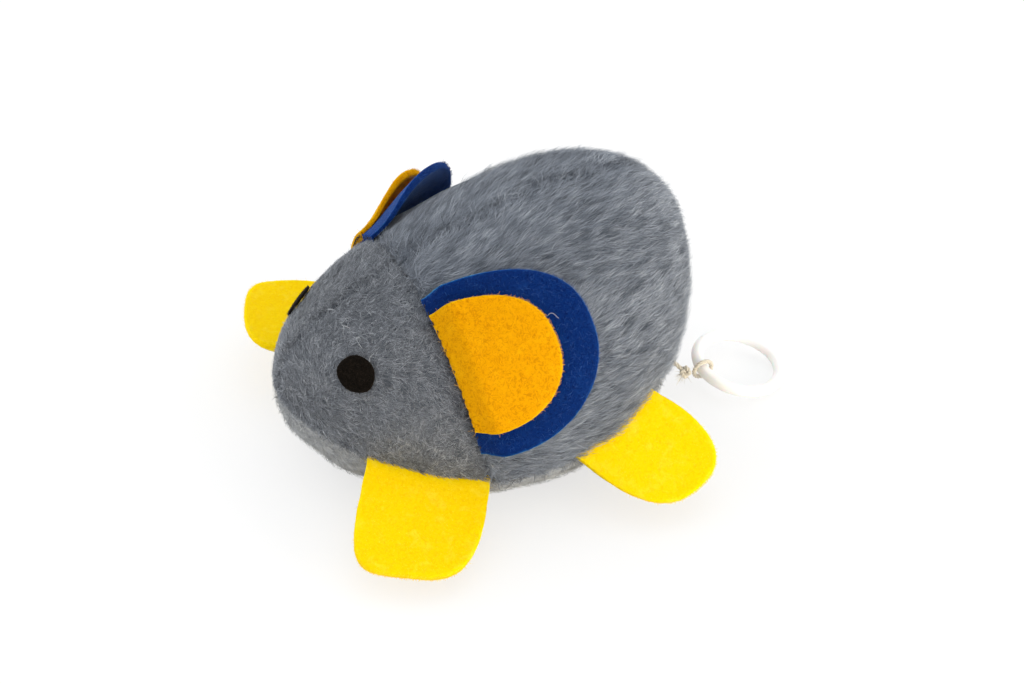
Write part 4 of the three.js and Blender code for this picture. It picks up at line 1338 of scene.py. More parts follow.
def felt_piece(
    flap: FeltFlap, finish: FeltFinish, slot: str, node: str, fuzz: int, seed: int,
    settle: Callable[[Array], Array], way_up: int,
) -> list[Piece]:
    """A felt flap and the fuzz on it.

    Args:
        flap: the cut of felt.
        finish: its finish.
        slot: the record's slot.
        node: the CAD node it stands for.
        fuzz: how many loose fibres it carries.
        seed: seed for its unevenness and its fibres.
        settle: moves the points to where the flap rests.
        way_up: 1, or -1 to turn the faces over.

    Returns:
        The flap and its fuzz.
    """
    rng = np.random.default_rng(seed)
    points, quads = flap.cloth()
    points, quads = settle(points), quads[:, ::way_up]
    x, y, z = points.T
    waver = np.sin(x * 1.9 + y * 1.3 + seed) * np.sin(z * 1.7 - y * 1.1 + 2 * seed)
    points = points + flap.waver * waver[:, None] + rng.normal(0, flap.rough, points.shape)
    cloth = new_piece(flap.name, points, quads, finish, slot)
    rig.replaces(cloth, node)
    spot, normal = scatter(points, quads, fuzz, rng)
    lines = fuzz_lines(spot, normal, flap.fuzz_length, flap.fuzz_lift, rng)
    rim, facing = rim_lines(flap, fuzz // 3, rng)
    rim = settle(rim.reshape(-1, 3)).reshape(rim.shape)
    lines, normal = np.concatenate([lines, rim]), np.concatenate([normal, facing])
    shade = rng.uniform(0.1, 1.0, len(lines))
    fluff = Pile(flap.name + "_fuzz", lines, normal, rng.uniform(*flap.fuzz_width, len(lines)), shade, 0.4)
    return [cloth, fluff.build(finish.fuzz(), slot, seed + 3)]


@dataclass(frozen=True)
class EarSet:
    """How one ear is set: where its flaps are sewn, how they lie, and how far the ear stands open."""

    reach: float = 1.0
    inner_share: float = 1.0
    slip: float = 0.0
    roundness: float = 2.4
    pinch: float = 5.5
    gap: float = 0.6
    tilt: float = 0.0
    tilt_from: float = 0.0
    inner_tilt: float = 0.0
    inner_from: float = 0.0
    ramp: float = 28.0
    upper_share: float = 0.76
    bend_run: float = 4.0
    lift: float = 0.0
    spread: float = 0.0
    stitch_drop: float = 0.3

    def tipped(self, tilt: float, over: Array, run: Array) -> Array:
        """How far a tilted flap stands off at angles over the line it bends on and runs behind the seam."""
        above = np.maximum(0, over) * SHAPE.half_width * self.upper_share
        return tilt * above * smooth_step(above / self.bend_run) * smooth_step(run / self.ramp)


EAR_SETS = {
    Side.LEFT: EarSet(),
    Side.RIGHT: EarSet(
        reach=0.885, inner_share=1.15, slip=math.radians(6), roundness=2.1, pinch=18.0, gap=0.2,
        tilt=0.28, tilt_from=math.radians(34), inner_tilt=0.2, inner_from=math.radians(30),
        lift=math.radians(3), spread=math.radians(1), stitch_drop=1.1,
    ),
}


@dataclass
class Ears:
    """Two ears, each a large blue flap with a smaller orange one over it, sewn into the head seam."""

    reach: float = 32.2
    inner_reach: float = 22.8
    top: float = math.radians(67)
    bottom: float = math.radians(11.5)
    inner_top: float = math.radians(60)
    inner_bottom: float = math.radians(19.5)
    standoff: float = 0.8
    close: float = 0.05
    felt: float = 1.8
    curl: float = 1.3
    corner: float = 0.995
    seam_gap: float = 0.4
    fold: float = 8.0
    tuck_drop: float = 1.7
    pinched: float = 0.5
    edge_run: float = 6.0
    edge_low: float = 0.25
    edge_thick: float = 0.35
    edge_inset: float = 0.05
    inner_tuck: float = 0.32
    fold_from: float = 0.3
    allowance: float = 2.6
    fuzz: int = 2600
    inner_fuzz: int = 1500
    seed: int = 31
    stitch_pitch: float = 2.3
    stitch_length: float = 1.5
    stitch_rise: float = 0.36
    thread: float = 0.2
    thread_pitch: float = 1.1
    stitch_seed: int = 52

    def depth(self, reach: float, v: Array, roundness: float = EarSet.roundness) -> Array:
        """How far a flap reaches back at a place along its sewn edge."""
        across = np.abs((2 * v - 1) * self.corner)
        return reach * (1 - across ** roundness) ** (1 / roundness)

    def outer_lie(self, held: EarSet, angle: Array, run: Array) -> tuple[Array, Array]:
        """How the outer flap lies over the flank.

        Args:
            held: how the ear is set.
            angle: angles round the body.
            run: how far behind the seam.

        Returns:
            The height of its underside over the skin, and its thickness.
        """
        free = smooth_step(run / held.pinch)
        across = (angle - self.bottom) / (self.top - self.bottom) * 2 - 1
        rest = self.close + (self.standoff + self.curl * across ** 4 - self.close) * free
        tip_up = held.tipped(held.tilt, angle - held.tilt_from, run)
        return rest + tip_up, self.felt * (self.pinched + (1 - self.pinched) * free)

    def flap(self, name: str, inner: bool, side: Side = Side.LEFT) -> FeltFlap:
        """A flap, lying back over the left flank.

        Args:
            name: the piece's name.
            inner: whether it is the smaller one.
            side: the side it is cut for.

        Returns:
            The flap.
        """
        held = EAR_SETS[side]
        top, bottom = (self.inner_top - held.slip, self.inner_bottom) if inner else (self.top, self.bottom)
        reach = held.reach * (self.inner_reach * held.inner_share if inner else self.reach)

        def place(u: Array, v: Array, h: Array) -> Array:
            """Places points of the flap.

            Args:
                u: 0 at its sewn edge to 1 at its rim, and less than 0 in the seam.
                v: 0 at the edge's lower end to 1 at its upper end.
                h: how far up through the felt.

            Returns:
                The points.
            """
            angle = bottom + (top - bottom) * ((2 * v - 1) * self.corner + 1) / 2
            inside = np.minimum(u, 0)
            run = self.seam_gap / 2 * (1 + inside) + self.depth(reach, v, held.roundness) * np.maximum(u, 0)
            _, _, normal, point = SHAPE.slopes(SHAPE.head_seam(angle) + run / SHAPE.length, angle)
            height, thick = self.outer_lie(held, angle, run)
            low = self.close
            if inner:
                low += self.pinched * self.felt + self.close
                gap = self.close + held.gap * smooth_step(run / held.pinch)
                height = height + thick + gap + held.tipped(held.inner_tilt, angle - held.inner_from, run)
            height = height + h * thick / self.felt + (self.tuck_drop + low) * inside
            return point + normal * height[..., None]

        return FeltFlap(
            name, place, self.felt, depth_at=partial(self.depth, reach, roundness=held.roundness),
            tuck=self.inner_tuck if inner else 1.0,
        )

    def hinge(self, inner: bool) -> tuple[Array, Array, Array]:
        """The line that a left flap turns on.

        Args:
            inner: whether it is the smaller flap's.

        Returns:
            A point, the line's direction, and the way that the flap runs from it.
        """
        top, bottom = (self.inner_top, self.inner_bottom) if inner else (self.top, self.bottom)
        off = self.standoff + (self.felt + EarSet.gap if inner else 0)
        middle = np.array([(top + bottom) / 2])
        share = SHAPE.head_seam(middle) + self.seam_gap / SHAPE.length
        along, _, normal, point = SHAPE.slopes(share, middle)
        way = unit(along)[0]
        return (point + normal * off)[0], unit(np.cross(way, normal[0])), way

    def bend(self, side: Side, inner: bool) -> tuple[Point, Point]:
        """Where a flap starts to bend and where it has bent, in metres.

        Args:
            side: the ear's side.
            inner: whether it is the smaller flap's.

        Returns:
            Two points.
        """
        place, _, way = self.hinge(inner)
        runs = (self.fold_from, self.fold_from + self.fold)
        start, end = (side.put(place + run * way) * MM for run in runs)
        return tuple(start), tuple(end)

    def settle(self, side: Side, inner: bool) -> Callable[[Array], Array]:
        """How a flap's points come to where it rests on its side.

        Args:
            side: the ear's side.
            inner: whether it is the smaller flap.

        Returns:
            A function that moves points.
        """
        held = EAR_SETS[side]
        turns = [(self.hinge(True), held.spread if inner else 0.0), (self.hinge(False), held.lift)]

        def rest(points: Array) -> Array:
            """Opens the flap, lifts it, and puts it on its side.

            Args:
                points: the flap's points, as it lies on the left.

            Returns:
                The points at rest.
            """
            for (place, axis, way), angle in turns:
                if angle:
                    share = smooth_step(((points - place) @ way - self.fold_from) / self.fold)
                    points = turn(points, place, axis, angle * share)
            return side.put(points)

        return rest

    def make_flap(self, side: Side, inner: bool) -> list[Piece]:
        """A flap with its fuzz, bending at its sewn edge.

        Args:
            side: the ear's side.
            inner: whether it is the smaller flap.

        Returns:
            The pieces, the flap first.
        """
        body = f"{side.word}_ear_{'inner' if inner else 'outer'}"
        holder = f"{side.word}_ear_outer" if inner else "body"
        finish, slot, fuzz, reach = BLUE_FELT, "blue_felt", self.fuzz, self.reach
        if inner:
            finish, slot, fuzz, reach = ORANGE_FELT, "orange_felt", self.inner_fuzz, self.inner_reach
        pieces = felt_piece(
            self.flap(f"{body}_felt", inner, side), finish, slot, body, fuzz,
            self.seed + 5 * side.value + 2 * inner, self.settle(side, inner), side.value,
        )
        for piece in pieces:
            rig.blend(piece, holder, body, *self.bend(side, inner))
        if inner:
            pieces.append(self.sewn_edge(side))
        edge = self.flap("cut", inner).place(np.zeros(9), np.linspace(0, 1, 9), np.zeros(9))
        wide, long = float(np.linalg.norm(np.ptp(edge, axis=0))), reach + self.allowance
        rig.sheet(
            pieces[0], flat=(wide * MM, long * MM), held="laid", area=0.9 * wide * long * MM * MM,
            rests_on=[holder if inner else f"{side.word}_flank_panel"], with_pieces=pieces[1:],
        )
        return pieces

    def build(self) -> list[Piece]:
        """Makes all four flaps and their stitches.

        Returns:
            The pieces.
        """
        made = []
        for side in Side:
            made += self.make_flap(side, False) + self.make_flap(side, True) + [self.stitches(side)]
        return made

    def sewn_edge(self, side: Side) -> Piece:
        """The inner flap's sewn edge, inside the flap, which stays in the seam when the ear lifts.

        Args:
            side: the ear's side.

        Returns:
            The piece.
        """
        whole = self.flap("whole", True, side)
        low, thick = self.edge_low * self.felt, self.edge_thick * self.felt

        def place(u: Array, v: Array, h: Array) -> Array:
            """Places points of the edge inside the flap.

            Args:
                u: 0 at the sewn edge to 1 at this piece's rim.
                v: 0 at its lower end to 1 at its upper end.
                h: how far up through this piece.

            Returns:
                The points.
            """
            v = self.edge_inset + (1 - 2 * self.edge_inset) * v
            deep = np.minimum(0.9, self.edge_run / whole.depth_at(v))
            return whole.place(np.where(u > 0, u * deep, u), v, low + h)

        points, quads = FeltFlap("edge", place, thick, rows=12).cloth()
        points, quads = self.settle(side, True)(points), quads[:, ::side.value]
        made = new_piece(f"{side.word}_ear_inner_sewn_edge", points, quads, ORANGE_FELT, "orange_felt")
        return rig.blend(made, "body", f"{side.word}_ear_outer", *self.bend(side, False))

    def stitches(self, side: Side) -> Piece:
        """Dark stitches along an ear's sewn edge.

        Args:
            side: the ear's side.

        Returns:
            The piece.
        """
        rng = np.random.default_rng(self.stitch_seed + side.value)
        angles = np.linspace(self.bottom + 0.02, self.top - 0.02, 500)
        edge = SHAPE.skin(SHAPE.head_seam(angles), angles)
        run = distances(edge)
        points, quads, first = [], [], 0
        for middle in np.arange(self.stitch_pitch / 2, run[-1], self.stitch_pitch):
            long = self.stitch_length * rng.uniform(0.75, 1.1)
            t = np.linspace(0, 1, 9)
            at = np.interp(middle + (t - 0.5) * long + rng.normal(0, 0.15), run, angles)
            inner = (at > self.inner_bottom) & (at < self.inner_top - EAR_SETS[side].slip)
            height = np.where(inner, 2 * self.pinched * self.felt + 0.12, self.pinched * self.felt + 0.08)
            slant = 0.25 + rng.normal(0, 0.12) + (t - 0.5) * rng.normal(0.2, 0.2)
            share = SHAPE.head_seam(at) + slant / SHAPE.length
            _, _, normal, point = SHAPE.slopes(share, at)
            height = height - EAR_SETS[side].stitch_drop + self.stitch_rise * np.sin(math.pi * t)
            path = point + normal * height[:, None]
            thread, faces = twisted(path, self.thread, self.thread_pitch, plies=2, sides=6)
            points.append(thread)
            quads.append(faces + first)
            first += len(thread)
        points, quads = side.put(np.concatenate(points)), np.concatenate(quads)[:, ::side.value]
        made = new_piece(f"{side.word}_ear_stitches", points, quads, DARK_THREAD, "dark_felt")
        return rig.ride(made, "body")


@dataclass(frozen=True)
class FootCut:
    """Where a foot is sewn along the belly seam, how far it stands out and how it hangs."""

    name: str
    side: Side
    start: float
    end: float
    reach: float
    squareness: float
    drop: float
    lean: float
    skew: float = 0.0
    rear_squareness: float = 3.2
    flare: float = 0.0
    bulge: float = 0.0

    def fullness(self, across: Array) -> Array:
        """How much of its reach the foot has at places across it, from -1 in front to 1 behind."""
        power = np.where(across > 0, self.rear_squareness, self.squareness)
        return np.maximum(0, 1 - np.abs(across) ** power) ** (1 / power) * (1 - self.skew * across)


@dataclass
class Feet:
    """Four yellow felt feet, sewn into the belly seam."""

    felt: float = 1.8
    standoff: float = 0.5
    corner: float = 0.995
    fold: float = 6.0
    tuck: float = 3.0
    sag: float = 0.5
    fold_from: float = 0.2
    fuzz: int = 2200
    seed: int = 61
    cuts: tuple[FootCut, ...] = (
        FootCut("front_left", Side.LEFT, 13.1, 37.4, 27.7, 4.6, math.radians(18), 0.8, 0.06, 3.2, 0.03),
        FootCut("front_right", Side.RIGHT, 13.1, 37.4, 26.9, 2.05, math.radians(-2), 3.1, -0.12, 2.25,
                flare=-0.4, bulge=2.0),
        FootCut("rear_left", Side.LEFT, 59.0, 81.3, 23.4, 2.7, math.radians(34), 5.6, 0.0, 2.2, 0.17),
        FootCut("rear_right", Side.RIGHT, 59.0, 81.3, 23.4, 2.7, math.radians(30), 5.0, 0.0, 2.4, 0.12),
    )

    @staticmethod
    def inside(point: Array) -> Array:
        """Which points are inside the body's plain skin.

        Args:
            point: the points, along the last axis.

        Returns:
            True for each that is.
        """
        share = np.clip(point[..., 1] / SHAPE.length + 0.5, 0.001, 0.999)
        above = point[..., 2] - SHAPE.side_line(share)
        full = np.where(above > 0, SHAPE.back_fullness, SHAPE.belly_fullness)
        rise = SHAPE.back_rise * SHAPE.swell(share, SHAPE.back_swell)
        tall = np.where(above > 0, rise, SHAPE.side_line(share) - SHAPE.belly_line(share))
        wide = SHAPE.half_width * SHAPE.swell(share, SHAPE.width_swell)
        return np.abs(point[..., 0] / wide) ** full + np.abs(above / tall) ** full < 1

    def axes(self, cut: FootCut) -> tuple[Array, Array, Array, Array, float]:
        """A left foot's own axes.

        Args:
            cut: the foot.

        Returns:
            The middle of its sewn edge, the ways along, out and up, and the edge's length.
        """
        edge = np.array([SHAPE.seam_angle])
        start = SHAPE.skin(np.array([cut.start / SHAPE.length]), edge)[0]
        end = SHAPE.skin(np.array([cut.end / SHAPE.length]), edge)[0]
        width = float(np.linalg.norm(end - start))
        along = unit(end - start)
        level = unit(np.cross(along, np.array([0.0, 0.0, 1.0])))
        out = turn(level[None, :], np.zeros(3), along, np.array([cut.drop]))[0]
        return (start + end) / 2, along, out, unit(np.cross(out, along)), width

    def bases(self, cut: FootCut, side: Array) -> Array:
        """How far out a foot leaves the skin.

        Args:
            cut: the foot.
            side: places along its sewn edge, from the middle.

        Returns:
            How far out from the line of that edge.
        """
        middle, along, out, up, _ = self.axes(cut)
        runs = np.linspace(cut.reach / 2, -cut.reach / 2, 400)
        inside = np.zeros((len(side), len(runs)), bool)
        for height in (-self.felt / 2, 0, self.felt / 2):
            at = middle + side[:, None, None] * along + runs[None, :, None] * out + height * up
            inside |= self.inside(at)
        first = np.where(inside.any(1), inside.argmax(1), len(runs) - 1)
        return runs[first] + self.standoff

    def flap(self, cut: FootCut) -> FeltFlap:
        """A foot's cut of felt, on the left.

        Args:
            cut: the foot.

        Returns:
            The flap.
        """
        middle, along, out, up, width = self.axes(cut)
        sides = np.linspace(-width / 2, width / 2, 60)
        known = self.bases(cut, sides)

        def depth(v: Array) -> Array:
            """How far the foot reaches out at places across it."""
            return (cut.reach - 2) * cut.fullness((2 * v - 1) * self.corner)

        def place(u: Array, v: Array, h: Array) -> Array:
            """Places points of the foot.

            Args:
                u: 0 at its sewn edge to 1 at its rim, and less than 0 in the seam.
                v: 0 at its front to 1 at its rear.
                h: how far up through the felt.

            Returns:
                The points.
            """
            across = (2 * v - 1) * self.corner
            side = across * width / 2
            base = np.interp(side, sides, known)
            reach = (cut.reach - base) * cut.fullness(across)
            run = base + reach * np.maximum(u, 0) + self.tuck * np.minimum(u, 0)
            part = (run - base) / cut.reach
            wide = np.maximum(part, 0) * (cut.flare + cut.bulge * (1 - np.maximum(part, 0)))
            side = side * (1 + wide) + cut.lean * part
            rise = h - self.felt / 2 - self.sag * np.sin(math.pi * np.clip(u, 0, 1)) * (1 - across ** 2)
            return middle + side[..., None] * along + run[..., None] * out + rise[..., None] * up

        return FeltFlap(f"{cut.name}_foot_felt", place, self.felt, columns=64, depth_at=depth)

    def build(self) -> list[Piece]:
        """Makes the four feet, each bending at its sewn edge.

        Returns:
            The pieces.
        """
        made = []
        for number, cut in enumerate(self.cuts):
            body = f"{cut.name}_foot"
            middle, _, out, _, width = self.axes(cut)
            pieces = felt_piece(
                self.flap(cut), YELLOW_FELT, "yellow_felt", body, self.fuzz, self.seed + number,
                cut.side.put, -cut.side.value,
            )
            root = float(self.bases(cut, np.zeros(1))[0]) + self.fold_from
            start, end = (cut.side.put(middle + run * out) * MM for run in (root, root + self.fold))
            for piece in pieces:
                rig.blend(piece, "body", body, tuple(start), tuple(end))
            long = cut.reach + self.tuck
            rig.sheet(
                pieces[0], flat=(width * MM, long * MM), held="hung", area=0.92 * width * long * MM * MM,
                rests_on=["belly_panel"], with_pieces=[pieces[1]],
            )
            made += pieces
        return made


@dataclass
class Eyes:
    """Two dark felt discs, glued on the head and bent to it."""

    radius: float = 4.4
    thickness: float = 0.6
    gap: float = -0.05
    flat: float = 0.97
    dome: float = 0.12
    rim: tuple[Span, ...] = ((0.995, 0.82), (1.0, 0.5), (0.99, 0.15))
    from_nose: Span = (14.1, 13.0)
    angle: float = math.radians(46.2)
    rings: int = 14
    sides: int = 56
    bare_edge: float = 0.25
    fuzz: int = 900
    fuzz_length: Span = (0.4, 1.0)
    fuzz_lift: float = 0.3
    seed: int = 90

    def seat(self, side: Side) -> tuple[Array, Array]:
        """An eye's share and angle."""
        return np.array([self.from_nose[side is Side.RIGHT] / SHAPE.length]), np.array([self.angle])

    def covers(self, side: Side, points: Array) -> Array:
        """Which points of the head lie under the eye on a side."""
        middle = side.put(SHAPE.skin(*self.seat(side))[0])
        return np.linalg.norm(points - middle, axis=-1) < self.radius - self.bare_edge

    def build(self) -> list[Piece]:
        """Makes both eyes with their fuzz.

        Returns:
            The pieces.
        """
        made = []
        run = np.linspace(0, 1, self.rings)
        profile = [(r * self.flat, self.thickness * (1.0 + self.dome * (1 - r * r))) for r in run]
        profile += [(reach, self.thickness * rise) for reach, rise in self.rim]
        profile += [(r * self.flat, 0.0) for r in run[::-1]]
        for side in Side:
            share, angle = self.seat(side)
            along, around, _, _ = SHAPE.slopes(share, angle)
            rng = np.random.default_rng(self.seed + side.value)
            turns = full_turn(self.sides)
            wobble = 1 + 0.018 * np.sin(3 * turns + side.value) + 0.014 * np.sin(5 * turns + 1.0)
            points = []
            for reach, height in profile:
                r = max(reach, 1e-3) * self.radius * wobble
                shares = share + np.cos(turns) * r / np.linalg.norm(along)
                angles = angle + np.sin(turns) * r / np.linalg.norm(around)
                _, _, normal, point = SHAPE.slopes(shares, angles)
                points.append(point + normal * (self.gap + height))
            points = side.put(np.concatenate(points))
            quads = grid_faces(len(profile), self.sides, wrap_columns=True)[:, ::-side.value]
            name = f"{side.word}_eye"
            eye = new_piece(name + "_felt", points, quads, DARK_FELT, "dark_felt")
            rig.replaces(eye, name)
            spot, facing = scatter(points, quads, self.fuzz, rng)
            lines = fuzz_lines(spot, facing, self.fuzz_length, self.fuzz_lift, rng)
            width, shade = rng.uniform(0.05, 0.08, self.fuzz), rng.uniform(0, 0.8, self.fuzz)
            fluff = Pile(name + "_fuzz", lines, facing, width, shade)
            fuzz = fluff.build(DARK_FELT.fuzz(), "dark_felt", self.seed + 5 + side.value)
            made += [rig.ride(eye, "body"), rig.ride(fuzz, "body")]
        return made


@dataclass
class PlushBody:
    """The plush covers of the mouse, with their pile kept clear of eyes and ears."""

    ears: Ears
    eyes: Eyes
    under_ear: float = 0.15
    beside_ear: float = 3.0
    fade_behind: float = 5.0
    fade_before: Span = (1.5, 2.5)
    fade_beside: float = 7.0

    def panels(self) -> list[CoverPanel]:
        """The five cuts of plush.

        Returns:
            The cuts, the sides' first.
        """
        made = []
        for side in Side:
            made.append(CoverPanel(
                Cover.HEAD, side, 32000, (1.3, 3.2), (-0.35, 0.3), (0.075, 0.135), 3, 5, 0.4,
                seed=101 + side.value, stray=0.75, swirl=1.0, long_share=0.08, long_height=0.6, mottle=0.02,
            ))
            made.append(CoverPanel(
                Cover.FLANK, side, 46000, (2.2, 4.8), (-0.3, 0.8), (0.07, 0.125), 3, 11, 0.5,
                seed=111 + side.value, comb=-0.06, stray=0.32, swirl=0.28, long_share=0.35, long_height=1.3,
                mottle=0.03,
            ))
        made.append(CoverPanel(
            Cover.BELLY, None, 20000, (1.6, 3.4), (-0.4, 0.3), (0.08, 0.14), 3, 10, 0.5, seed=121, stray=0.8,
        ))
        return made

    def allowed(self, share: Array, angle: Array) -> Array:
        """The most that a fibre may stand off the skin: less under an ear, and rising beside it.

        Args:
            share: from nose to rear.
            angle: round from the left side.

        Returns:
            The heights.
        """
        ears = self.ears
        behind = (share - SHAPE.head_seam(angle)) * SHAPE.length
        v = np.clip((angle - ears.bottom) / (ears.top - ears.bottom), 0, 1)
        start, wide = self.fade_before
        clear = np.maximum((behind - ears.depth(ears.reach, v)) / self.fade_behind, (-behind - start) / wide)
        clear = np.maximum(clear, np.maximum(angle - ears.top, ears.bottom - angle) * self.fade_beside)
        return self.under_ear + self.beside_ear * smooth_step(clear)

    def bare(self, panel: CoverPanel, points: Array) -> Array:
        """Which points of a cut carry no pile, since an eye is on them."""
        head = panel.cut is Cover.HEAD
        return self.eyes.covers(panel.side, points) if head else np.zeros(len(points), bool)

    def build(self) -> list[Piece]:
        """Makes the ground and the pile of every cut.

        Returns:
            The pieces.
        """
        made = []
        for panel in self.panels():
            made += [panel.ground(), panel.pile(partial(self.bare, panel), self.allowed)]
        return made


@dataclass
class Lint:
    """Stray pale fibres that cling to the head, and one on the left ear."""

    ears: Ears
    patches: tuple[tuple[float, float, int, float], ...] = (
        (0.15, 70.5, 3, 3.4), (0.066, 46.0, 1, 2.0), (0.165, 57.0, 2, 6.0), (0.296, 37.7, 1, 3.2),
    )
    ear_spot: Span = (25.5, 44.0)
    ear_length: float = 4.2
    ear_width: float = 34.0
    ear_gap: float = 0.16
    points: int = 24
    wide: Span = (0.05, 0.075)
    seed: int = 17

    def wander(self, length: float, rng: Rng) -> Array:
        """A curled fibre's steps over a flat surface.

        Args:
            length: the fibre's length.
            rng: the random numbers.

        Returns:
            Two coordinates for each point.
        """
        t = np.linspace(0, 1, self.points)
        curl = rng.uniform(0.3, 1.3) * np.sin(2 * math.pi * rng.uniform(0.6, 1.6) * t + rng.uniform(0, 6))
        heading = rng.uniform(0, 2 * math.pi) + curl + rng.normal(0, 2.0) * t
        step = length / (self.points - 1)
        return np.cumsum(np.stack([np.cos(heading), np.sin(heading)], -1) * step, axis=0)

    def on_head(self, rng: Rng) -> tuple[Array, Array]:
        """Fibres on the head.

        Args:
            rng: the random numbers.

        Returns:
            The fibres, and the skin's normals there.
        """
        lines, facing = [], []
        for share, degrees, count, length in self.patches:
            for _ in range(count):
                walk = self.wander(length * rng.uniform(0.5, 1.2), rng) + rng.normal(0, 1.7, 2)
                angle = np.array([math.radians(degrees)])
                along, around, normal, _ = SHAPE.slopes(np.array([share]), angle)
                shares = share + walk[:, 0] / np.linalg.norm(along[0])
                angles = angle[0] + walk[:, 1] / np.linalg.norm(around[0])
                rise = 0.35 + rng.uniform(0.1, 0.7) * np.sin(np.linspace(0.2, math.pi, self.points))
                lines.append(SHAPE.stuffed(shares, angles, rise))
                facing.append(normal[0])
        return np.array(lines), np.array(facing)

    def on_ear(self, rng: Rng) -> tuple[Array, Array]:
        """One fibre on the left ear's outer flap.

        Args:
            rng: the random numbers.

        Returns:
            The fibre, and the felt's normal there.
        """
        flap = self.ears.flap("lint_bed", False)
        run, degrees = self.ear_spot
        v0 = (math.radians(degrees) - self.ears.bottom) / (self.ears.top - self.ears.bottom)
        walk = self.wander(self.ear_length, rng)
        u = run / self.ears.reach + walk[:, 0] / self.ears.reach
        v = v0 + walk[:, 1] / self.ear_width
        line = flap.place(u, v, np.full(self.points, flap.thickness + self.ear_gap))
        facing = unit(flap.place(u[:1], v[:1], np.array([3.0])) - line[:1])
        return line[None], facing

    def build(self) -> list[Piece]:
        """Lays the fibres.

        Returns:
            The pieces.
        """
        rng = np.random.default_rng(self.seed)
        made = []
        for name, body, (lines, facing) in (
            ("head_lint", "body", self.on_head(rng)),
            ("left_ear_lint", "left_ear_outer", self.on_ear(rng)),
        ):
            count = len(lines)
            fluff = Pile(name, lines, facing, rng.uniform(*self.wide, count), rng.uniform(0.2, 1, count), 0.7)
            made.append(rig.ride(fluff.build(LINT, "stuffing", self.seed + 1), body))
        return made


def tube_frames(path: Array, closed: bool = False) -> tuple[Array, Array]:
    """Two ways across a line at each of its points, turning as little as they can.

    Args:
        path: the line's points.
        closed: whether its end joins its start.

    Returns:
        The two ways.
    """
    if closed:
        along = unit(np.roll(path, -1, 0) - np.roll(path, 1, 0))
    else:
        along = unit(np.gradient(path, axis=0))
    first = np.cross(along[0], [0.31, 0.2, 0.93])
    one = [unit(first)]
    for way in along[1:]:
        one.append(unit(one[-1] - (one[-1] @ way) * way))
    one = np.array(one)
    return one, np.cross(along, one)


def twisted(
    path: Array, radius: float, pitch: float, plies: int = 3, sides: int = 8, closed: bool = False,
) -> tuple[Array, Array]:
    """A twisted cord along a line.

    Args:
        path: the line's points, evenly spaced.
        radius: the cord's radius.
        pitch: length of one turn of the twist.
        plies: how many plies are twisted together.
        sides: points round a ply.
        closed: whether the cord's end joins its start.

    Returns:
        Points and quads.
    """
    one, two = tube_frames(path, closed)
    run = distances(path)
    if closed:
        whole = run[-1] + np.linalg.norm(path[0] - path[-1])
        pitch = whole / max(1, round(whole / pitch))
    thick = radius * 0.52
    points, quads, first = [], [], 0
    for ply in range(plies):
        turned = 2 * math.pi * (run / pitch + ply / plies)
        middle = path + (radius - thick) * (np.cos(turned)[:, None] * one + np.sin(turned)[:, None] * two)
        round_it = full_turn(sides)
        ring = np.cos(round_it)[None, :, None] * one[:, None] + np.sin(round_it)[None, :, None] * two[:, None]
        points.append((middle[:, None] + thick * ring).reshape(-1, 3))
        quads.append(grid_faces(len(path), sides, wrap_rows=closed, wrap_columns=True)[:, ::-1] + first)
        first += len(path) * sides
    return np.concatenate(points), np.concatenate(quads)


def smooth_line(corners: Sequence[Sequence[float]], count: int) -> Array:
    """A smooth line through points, evenly spaced along it.

    Args:
        corners: the points it goes through.
        count: how many points it gets.

    Returns:
        The line's points.
    """
    given = np.array(corners, float)
    full = np.concatenate([[2 * given[0] - given[1]], given, [2 * given[-1] - given[-2]]])
    fine = []
    for i in range(1, len(full) - 2):
        p0, p1, p2, p3 = full[i - 1:i + 3]
        t = np.linspace(0, 1, 60, endpoint=False)[:, None]
        fine.append(0.5 * (2 * p1 + (p2 - p0) * t + (2 * p0 - 5 * p1 + 4 * p2 - p3) * t ** 2
                           + (3 * p1 - p0 - 3 * p2 + p3) * t ** 3))
    fine = np.concatenate(fine + [given[-1:]])
    run = distances(fine)
    even = np.linspace(0, run[-1], count)
    return np.stack([np.interp(even, run, fine[:, i]) for i in range(3)], -1)


